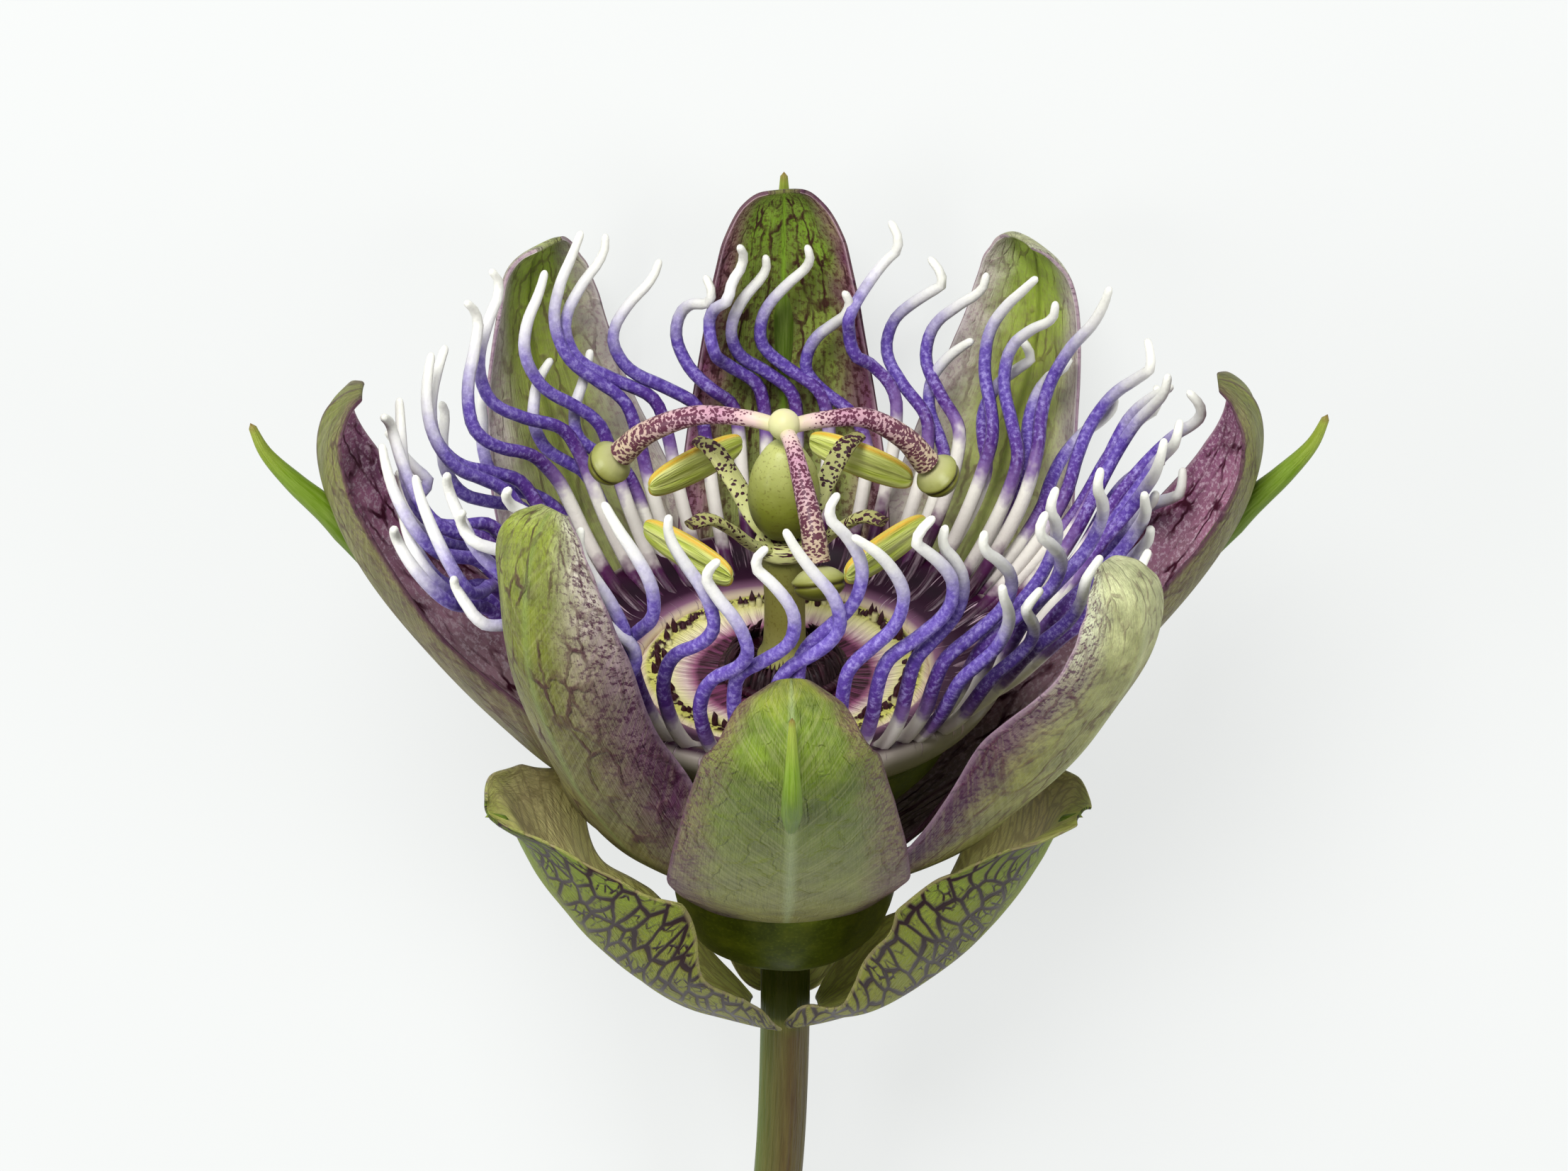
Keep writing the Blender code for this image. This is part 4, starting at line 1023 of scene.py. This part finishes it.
# %% Stamens
STAMEN_HUB_PROFILE = [(0.0, 34.9), (1.9, 34.9), (2.2, 35.5), (1.8, 36.1), (0.0, 36.1)]
STAMEN_AZIMUTHS = [52.0, 135.0, 222.0, 322.0]
STAMEN_LINE = [(0.6, 35.5), (2.8, 36.4), (5.0, 38.6), (7.2, 40.4), (9.0, 40.6)]
STAMEN_WIDTH, STAMEN_DEPTH, STAMEN_END = 0.85, 0.42, 0.6  # half of a strap's width, its depth, its end's width
STAMEN_RINGS, STAMEN_SIDES = 30, 18
ANTHER_LENGTH, ANTHER_WIDTH, ANTHER_DEPTH = 9.4, 2.9, 1.3
ANTHER_BLUNT = 0.55  # 1 is an egg, and less is blunter at the ends
ANTHER_NAMES = ["anther_back_right", "anther_back_left", "anther_front_left", "anther_front_right"]
GAP = 0.3  # between two pieces that grow together


def dots(tree, mm, size, cover):
    """Small ragged dots of a size in millimetres; cover is from 0, none, to 1, nearly all."""
    cells = add(tree, "TexVoronoi", {"Vector": mm, "Scale": 1 / size, "Randomness": 1.0}, feature="F1")
    cloud = add(tree, "TexNoise", {"Vector": mm, "Scale": 1.6 / size, "Detail": 2})
    reach = add(tree, "Math", {0: cloud, 1: cover}, operation="MULTIPLY")
    inside = add(tree, "Math", {0: reach, 1: cells}, operation="SUBTRACT")
    return add(tree, "ValToRGB", {0: inside}, stops=[(0.0, 0), (0.06, 1)])


def stamen_paint(tree):
    mm, _, along = shares(tree, wide=4.2, long=13.0)
    streaks = fibres(tree, mm, thick=0.25, long=3.0)
    ground = add(tree, "ValToRGB", {0: along}, stops=[
        (0.0, "a8ac60"), (0.3, "c6c890"), (0.75, "b6b67c"), (1.0, "8e8a58")])
    cover = add(tree, "MapRange", {"Value": along, "To Min": 0.5, "To Max": 1.1})
    return add(tree, "MixRGB", {0: dots(tree, mm, size=0.42, cover=cover), 1: ground, 2: "43182c"}), streaks


def anther_paint(tree):
    mm, across, _ = shares(tree, wide=7.0, long=9.4)
    streaks = fibres(tree, mm, thick=0.5, long=6.0)
    face = add(tree, "MixRGB", {0: streaks, 1: "aeba50", 2: "dade98"})
    pollen = add(tree, "ValToRGB", {0: across}, stops=[
        (0.0, 0), (0.14, 0), (0.2, 1), (0.25, 0.4), (0.3, 1), (0.36, 0), (0.64, 0), (0.7, 1), (0.75, 0.4), (0.8, 1),
        (0.86, 0)])
    grains = add(tree, "TexNoise", {"Vector": mm, "Scale": 5.0, "Detail": 2})
    seen = add(tree, "Math", {0: pollen, 1: 0.85}, operation="MULTIPLY")
    height = add(tree, "MixRGB", {0: seen, 1: streaks, 2: grains})
    return add(tree, "MixRGB", {0: seen, 1: face, 2: "d0a02c"}), height


# Stamen strap, grown: firm and satin. Anther, grown: lime skin with dusty orange pollen on its rims.
STAMEN_SKIN = living("stamen strap skin, dotted", stamen_paint, relief=0.05)
ANTHER_SKIN = living("anther skin with pollen", anther_paint, relief=0.1, rough=(0.5, 0.75))

bm = new_mesh()
add_turned(bm, STAMEN_HUB_PROFILE, around=40, rows=24)
stamen_line = Line(STAMEN_LINE)
places = np.linspace(0, 1, STAMEN_RINGS)
radii = np.interp(places, [0, 0.83, 1], [STAMEN_WIDTH, STAMEN_WIDTH, STAMEN_END])
for number, azimuth in enumerate(STAMEN_AZIMUTHS):
    path = [at_azimuth(stamen_line.at(share), azimuth) for share in places]
    add_tube(bm, path, radii, STAMEN_SIDES, STAMEN_DEPTH / STAMEN_WIDTH, tint=number / len(STAMEN_AZIMUTHS))
close(bm)
piece(bm, "stamen_filaments", [STAMEN_SKIN])


def anther_shape(azimuth):
    """A place function for a long egg under the end of a strap, squarer than a ball and grooved along its faces."""
    end_radius, end_height = STAMEN_LINE[-1]
    drop = STAMEN_DEPTH + GAP + ANTHER_WIDTH / 2
    centre = Vector(at_azimuth((end_radius + 0.2, end_height - drop), azimuth))
    turned = Matrix.Rotation(math.radians(azimuth), 3, "Z") @ Matrix.Rotation(math.radians(90), 3, "X")

    def place(across, along):
        turn, rise = math.tau * across, math.pi * (along - 0.5)
        around = max(math.cos(rise), 0) ** ANTHER_BLUNT
        groove = 1 - 0.35 * math.exp(-((math.cos(turn) / 0.16) ** 2))
        groove -= 0.25 * math.exp(-((math.sin(turn) / 0.2) ** 2))
        return centre + turned @ Vector((
            ANTHER_DEPTH / 2 * around * math.cos(turn) * groove,
            ANTHER_WIDTH / 2 * around * math.sin(turn) * (0.92 + 0.08 * groove),
            ANTHER_LENGTH / 2 * math.sin(rise),
        ))

    return place


for number, (name, azimuth) in enumerate(zip(ANTHER_NAMES, STAMEN_AZIMUTHS)):
    bm = new_mesh()
    add_sheet(bm, columns=48, rows=48, place=anther_shape(azimuth), tint=number / len(ANTHER_NAMES))
    close(bm)
    piece(bm, name, [ANTHER_SKIN])

# %% [markdown]
# ## Styles and stigmas
# Three styles arch out from a pale hub on the ovary. They are pinkish white and densely dotted with maroon, more
# so towards their ends, where each widens and carries a stigma, an olive cap with a rim like an acorn's.

# %% Styles and stigmas
STYLE_HUB_RADIUS, STYLE_HUB_HEIGHT = 1.15, 45.45
STYLES = [
    ("left", 156.0, [(0.2, 45.2), (3.0, 45.3), (7.0, 44.6), (10.8, 42.4), (13.0, 40.1)]),
    ("right", 16.0, [(0.2, 45.2), (3.0, 45.4), (6.2, 45.0), (9.1, 42.9), (10.8, 40.6)]),
    ("front", 286.0, [(0.2, 45.2), (2.4, 44.8), (5.0, 43.0), (7.4, 40.8), (8.4, 38.8)]),
]
STYLE_RADII = [0.55, 0.62, 0.75, 0.85, 1.0]
STYLE_RINGS, STYLE_SIDES = 60, 20
STIGMA_RADII = (1.9, 1.6, 1.25)
STIGMA_RIM = 0.07


def style_paint(tree):
    mm, _, along = shares(tree, wide=4.5, long=15.0)
    cloud = add(tree, "TexNoise", {"Vector": mm, "Scale": 0.8, "Detail": 3})
    moved = add(tree, "Math", {0: cloud, 1: 0.16, 2: along}, operation="MULTIPLY_ADD")
    ground = add(tree, "ValToRGB", {0: moved}, stops=[
        (0.08, "c9cc94"), (0.22, "d2bcb4"), (0.4, "b890a0"), (0.7, "bfa2a4"), (1.0, "c4b498")])
    cover = add(tree, "ValToRGB", {0: along}, stops=[(0.06, 0.05), (0.25, 0.85), (0.7, 1.0), (0.92, 0.85)])
    cover = add(tree, "Math", {0: cover, 1: 1.25}, operation="MULTIPLY")
    return stained(tree, ground, "5a1c3c", dots(tree, mm, size=0.3, cover=cover), 0.9), cloud


def stigma_paint(tree):
    mm, _, along = shares(tree, wide=10.0, long=4.5)
    cloud = add(tree, "TexNoise", {"Vector": mm, "Scale": 0.9, "Detail": 4})
    moved = add(tree, "Math", {0: cloud, 1: 0.15, 2: along}, operation="MULTIPLY_ADD")
    colour = add(tree, "ValToRGB", {0: moved}, stops=[
        (0.1, "b9b690"), (0.4, "a4a66c"), (0.56, "7c7c34"), (0.75, "6a6c28"), (1.0, "5a5c1c")])
    rim = add(tree, "ValToRGB", {0: along}, stops=[(0.47, 0), (0.5, 0.9), (0.52, 0.9), (0.55, 0)])
    return add(tree, "MixRGB", {0: rim, 1: colour, 2: "3c3410"}), cloud


# Style skin, grown: moist and speckled. Stigma, grown: a smooth sticky cap with a soft gloss.
STYLE_SKIN = living("style skin, speckled", style_paint, relief=0.06, rough=SATIN)
STIGMA_SKIN = living("stigma cap, olive", stigma_paint, relief=0.05, rough=GLOSSY)


def ball(centre, turned, sizes, rim=0.0):
    """A place function for an egg shape whose poles lie along its own Z; rim is a groove round its middle."""

    def place(across, along):
        turn, rise = math.tau * across, math.pi * (along - 0.5)
        waist = 1 - rim * math.exp(-(((along - 0.51) / 0.035) ** 2)) + rim * math.exp(-(((along - 0.43) / 0.05) ** 2))
        point = Vector((math.cos(rise) * math.cos(turn), math.cos(rise) * math.sin(turn), math.sin(rise))) * waist
        return centre + turned @ (point * Vector(sizes))

    return place


bm = new_mesh()
hub = Vector((0, 0, STYLE_HUB_HEIGHT))
add_sheet(bm, columns=24, rows=20, place=ball(hub, Matrix.Identity(3), [STYLE_HUB_RADIUS] * 3))
for face in bm.faces:  # the whole hub takes the pale colour of the styles' feet
    for loop in face.loops:
        loop[bm.loops.layers.uv["UVMap"]].uv.y *= 0.05
places = np.linspace(0, 1, STYLE_RINGS)
radii = np.interp(places, np.linspace(0, 1, len(STYLE_RADII)), STYLE_RADII)
for number, (_, azimuth, points) in enumerate(STYLES):
    line = Line(points)
    add_tube(bm, [at_azimuth(line.at(share), azimuth) for share in places], radii, STYLE_SIDES, tint=number / 4)
close(bm)
piece(bm, "styles", [STYLE_SKIN])

for number, (name, azimuth, points) in enumerate(STYLES):
    line = Line(points)
    direction = Vector(at_azimuth(line.direction(1), azimuth))
    centre = Vector(at_azimuth(line.at(1), azimuth)) + direction * (STIGMA_RADII[2] + GAP)
    cap = ball(centre, direction.to_track_quat("Z", "Y").to_matrix(), STIGMA_RADII, STIGMA_RIM)
    bm = new_mesh()
    add_sheet(bm, columns=48, rows=40, place=cap, tint=number / 4)
    close(bm)
    piece(bm, "stigma_" + name, [STIGMA_SKIN])

# %% [markdown]
# ## Corona filaments
# The corona is the flower's crown of wavy threads: one ring of long ones and, at the two sides, shorter ones
# behind them. Each is a common line turned to its azimuth, with a seeded draw for its size and waves, and pushed
# clear of the other pieces. The bars of colour, purple, white, violet and white again, begin at a slightly
# different share on each, which its tint holds.

# %% Paint for the filaments
THREAD_ROUND, THREAD_LONG = 3.2, 34.0
DISH_PROFILE = [
    (10.9, 23.4), (14.6, 23.6), (16.4, 25.6), (16.6, 26.9), (15.4, 27.0), (13.2, 25.8), (10.9, 25.2), (10.9, 23.4),
]


def filament_paint(tree):
    mm, _, along = shares(tree, THREAD_ROUND, THREAD_LONG)
    tint = add(tree, "Attribute", output="Fac", attribute_name="tint")
    cloud = add(tree, "TexNoise", {"Vector": mm, "Scale": 0.8, "Detail": 2})
    moved = add(tree, "Math", {0: cloud, 1: 0.1, 2: along}, operation="MULTIPLY_ADD")
    barred = add(tree, "Math", {0: moved, 1: tint}, operation="SUBTRACT")
    colour = add(tree, "ValToRGB", {0: barred}, stops=[
        (0.14, "34082a"), (0.19, "5c2a58"), (0.24, "d0cac4"), (0.38, "dedbd2"), (0.43, "84699c"), (0.49, "5c3580"),
        (0.62, "61499a"), (1.0, "7b6cb4")])
    speckle = add(tree, "TexNoise", {"Vector": mm, "Scale": 2.2, "Detail": 3, "Roughness": 0.7})
    pale = add(tree, "ValToRGB", {0: speckle}, stops=[(0.48, 0), (0.66, 0.7)])
    deep = add(tree, "ValToRGB", {0: speckle}, stops=[(0.3, 0.55), (0.46, 0)])
    violet = add(tree, "ValToRGB", {0: barred}, stops=[(0.42, 0), (0.5, 1)])
    colour = stained(tree, colour, "a49acc", pale, violet)
    colour = stained(tree, colour, "402c74", deep, violet)
    root = add(tree, "ValToRGB", {0: barred}, stops=[(0.1, 0.25), (0.18, 0)])
    colour = stained(tree, colour, "d8c4cc", fibres(tree, mm, thick=0.3, long=5.0, low=0.45, high=0.6), root)
    tip = add(tree, "ValToRGB", {0: moved}, stops=[(0.74, 0), (0.86, 0.8), (0.94, 1)])
    colour = add(tree, "MixRGB", {0: tip, 1: colour, 2: "dcdcd4"})
    brown = add(tree, "ValToRGB", {0: moved}, stops=[(1.0, 0), (1.05, 0.5)])
    return add(tree, "MixRGB", {0: brown, 1: colour, 2: "b09a58"}), speckle


def dish_paint(tree):
    mm, _, along = shares(tree, wide=86.0, long=15.6)
    rays = fibres(tree, mm, thick=0.4, long=6.0, low=0.6, high=0.66)
    ground = add(tree, "ValToRGB", {0: along}, stops=[
        (0.3, "8a8a5c"), (0.5, "a09890"), (0.54, "3c1034"), (0.66, "260620"), (0.8, "380c30"), (0.86, "846078"),
        (0.9, "d8ccb4")])
    return stained(tree, ground, "d0b8c4", rays, 0.7), rays


# Corona thread, grown: firm, round and satin, white flesh under a mottled violet skin.
THREAD_SKIN = living("corona thread skin, violet and white bars", filament_paint, relief=0.05, rough=(0.35, 0.55))
DISH_SKIN = living("corona dish skin, maroon rays", dish_paint, relief=0.1, rough=SATIN)

# %% The filaments' line
FILAMENT_SEED = 7
# Each row: first and last azimuth, number of filaments, and how far out, how high and how wavy they are.
FILAMENT_ROWS = [
    (0, 360, 48, 1.0, 1.0, 1.0), (-58, 58, 13, 1.0, 0.73, 0.7), (122, 236, 13, 1.0, 0.73, 0.7),
]
FILAMENT_FOOT = 25
FILAMENT_LINE = [
    (12.4, 25.0, 0.0), (14.8, 26.6, 0.0), (16.8, 29.2, 0.0), (18.4, 32.0, 0.0), (19.6, 35.0, 0.0),
    (20.6, 37.8, 0.8), (21.4, 39.6, 3.8), (22.2, 41.6, 6.2), (23.0, 44.4, 6.2), (23.6, 46.8, 4.2),
    (24.0, 48.8, 2.2), (24.2, 50.6, 2.6),
]
FILAMENT_SHARES = [0, 0.16, 0.32, 0.45, 0.53, 0.60, 0.68, 0.76, 0.84, 0.92, 1]
FILAMENT_RADII = [0.62, 0.64, 0.64, 0.62, 0.60, 0.60, 0.58, 0.56, 0.54, 0.48, 0.36]
SLIMMER = 0.84  # the threads are round here, and the solids' square ones are as thick over their corners
FILAMENT_SIDES, FILAMENT_RINGS = 8, 48


def side_reach(azimuth):
    """How far the filaments lean out: most towards the two sides, least at the front."""
    turn = math.radians(azimuth)
    return 1 + 0.2 * math.cos(turn) ** 2 - 0.16 * max(-math.sin(turn), 0) - 0.04 * max(math.sin(turn), 0)


def filament_line(azimuth, spread, rise, swing, draw):
    """One wavy filament, as the common line turned to its azimuth and stretched."""
    spread *= draw.uniform(0.94, 1.06) * side_reach(azimuth)
    rise *= draw.uniform(0.82, 1.0) * (1.1 - 0.1 * side_reach(azimuth) ** 2)
    swing *= draw.uniform(0.65, 1.1) * (1 - 0.3 * max(-math.sin(math.radians(azimuth)), 0))
    lag = draw.uniform(-0.5, 0.5)
    hook = draw.uniform(-1.5, 1.5)
    whole = len(FILAMENT_LINE) - 1
    sideways = [row[2] for row in FILAMENT_LINE]
    points = []
    for step, (radius, height, _) in enumerate(FILAMENT_LINE):
        stretch = 1 + (spread - 1) * eased(step / whole, 0.1, 0.9)
        across = swing * np.interp(step + lag, range(whole + 1), sideways) + (hook if step == whole else 0)
        upright = (radius * stretch, FILAMENT_FOOT + (height - FILAMENT_FOOT) * rise, across)
        points.append(at_azimuth(upright, azimuth))
    return Line(points)


def bar_shift(azimuth, draw):
    """How much later along a filament its bars begin: late on the right, early at the front."""
    turn = math.radians(azimuth)
    return 0.05 * math.cos(turn) - 0.16 * max(-math.sin(turn), 0) ** 2 + draw.uniform(-0.05, 0.05)


# %% Kept clear of the other pieces
CLEARANCE = 0.6 + max(FILAMENT_RADII)  # from a filament's middle to any other surface
ROOTED = 4  # points at a filament's foot that stay
PUSHES, DRAWN_PUSHES = 20, 10  # rounds of pushing, and those in which a point draws the next ones along
OPEN = 1000  # stands for a wall that isn't there


def surfaces_of(nodes):
    """The solids of some nodes in the upright frame, as one tree to measure distances to."""
    points, faces = [], []
    for node in nodes:
        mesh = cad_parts[node].data
        first = len(points)
        points += [UPRIGHT @ vert.co for vert in mesh.vertices]
        faces += [[first + corner for corner in face.vertices] for face in mesh.polygons]
    return BVHTree.FromPolygons(points, faces)


def kept_clear(path, cup, middle):
    """The path moved, with its waves, until each point is inside the cup of tepals and clear of every surface."""
    path = np.array(path)
    for turn in range(PUSHES):
        push = np.zeros_like(path)
        for index in range(ROOTED, len(path)):
            point = path[index]
            reach = np.linalg.norm(point[:2])
            out = point * (1, 1, 0) / reach
            wall = cup.ray_cast(Vector((0, 0, point[2])), Vector(out))[3] or OPEN
            inward = max(reach - wall + 1.5 * CLEARANCE, CLEARANCE - cup.find_nearest(Vector(point))[3], 0)
            near, _, _, distance = middle.find_nearest(Vector(point))
            push[index] = -out * inward + (point - np.array(near)) * max(CLEARANCE / distance - 1, 0)
        if not push.any():
            break
        drawn = np.vstack([push[:1] * 0, (push[:-2] + push[2:]) / 3, push[-2:-1] * 0.4]) * (turn < DRAWN_PUSHES)
        path += np.where(np.abs(push) > np.abs(drawn), push, drawn)
    return list(path)


# %% Corona filaments
cup_of_tepals = surfaces_of([row[0] for row in SEPALS + PETALS])
middle_of_flower = surfaces_of([
    "corona_floor", "inner_corona", "column", "ovary", "stamen_filaments", *ANTHER_NAMES, "styles",
    *["stigma_" + name for name, _, _ in STYLES]])
draw = random.Random(FILAMENT_SEED)
tints = random.Random(FILAMENT_SEED + 1)
count = len(FILAMENT_SHARES)
knots = np.interp(np.arange(0, count - 0.5, 0.5), range(count), FILAMENT_SHARES)
places = np.append(np.linspace(0, 0.985, FILAMENT_RINGS - 3), [0.993, 0.998, 1])
radii = np.interp(places, FILAMENT_SHARES, FILAMENT_RADII) * SLIMMER
radii[-3:] *= [0.85, 0.5, 0]

bm = new_mesh()
add_turned(bm, DISH_PROFILE, around=120, rows=60)
for first, last, count, spread, rise, swing in FILAMENT_ROWS:
    for number in range(count):
        azimuth = first + (last - first) * (number + 0.5) / count + draw.uniform(-1.2, 1.2)
        wavy = filament_line(azimuth, spread, rise, swing, draw)
        line = Line(kept_clear([wavy.at(knot) for knot in knots], cup_of_tepals, middle_of_flower))
        path = [line.at(share) for share in places]
        add_tube(bm, path, radii, FILAMENT_SIDES, tint=bar_shift(azimuth, tints), slot=1)
close(bm)
piece(bm, "corona_filaments", [DISH_SKIN, THREAD_SKIN])
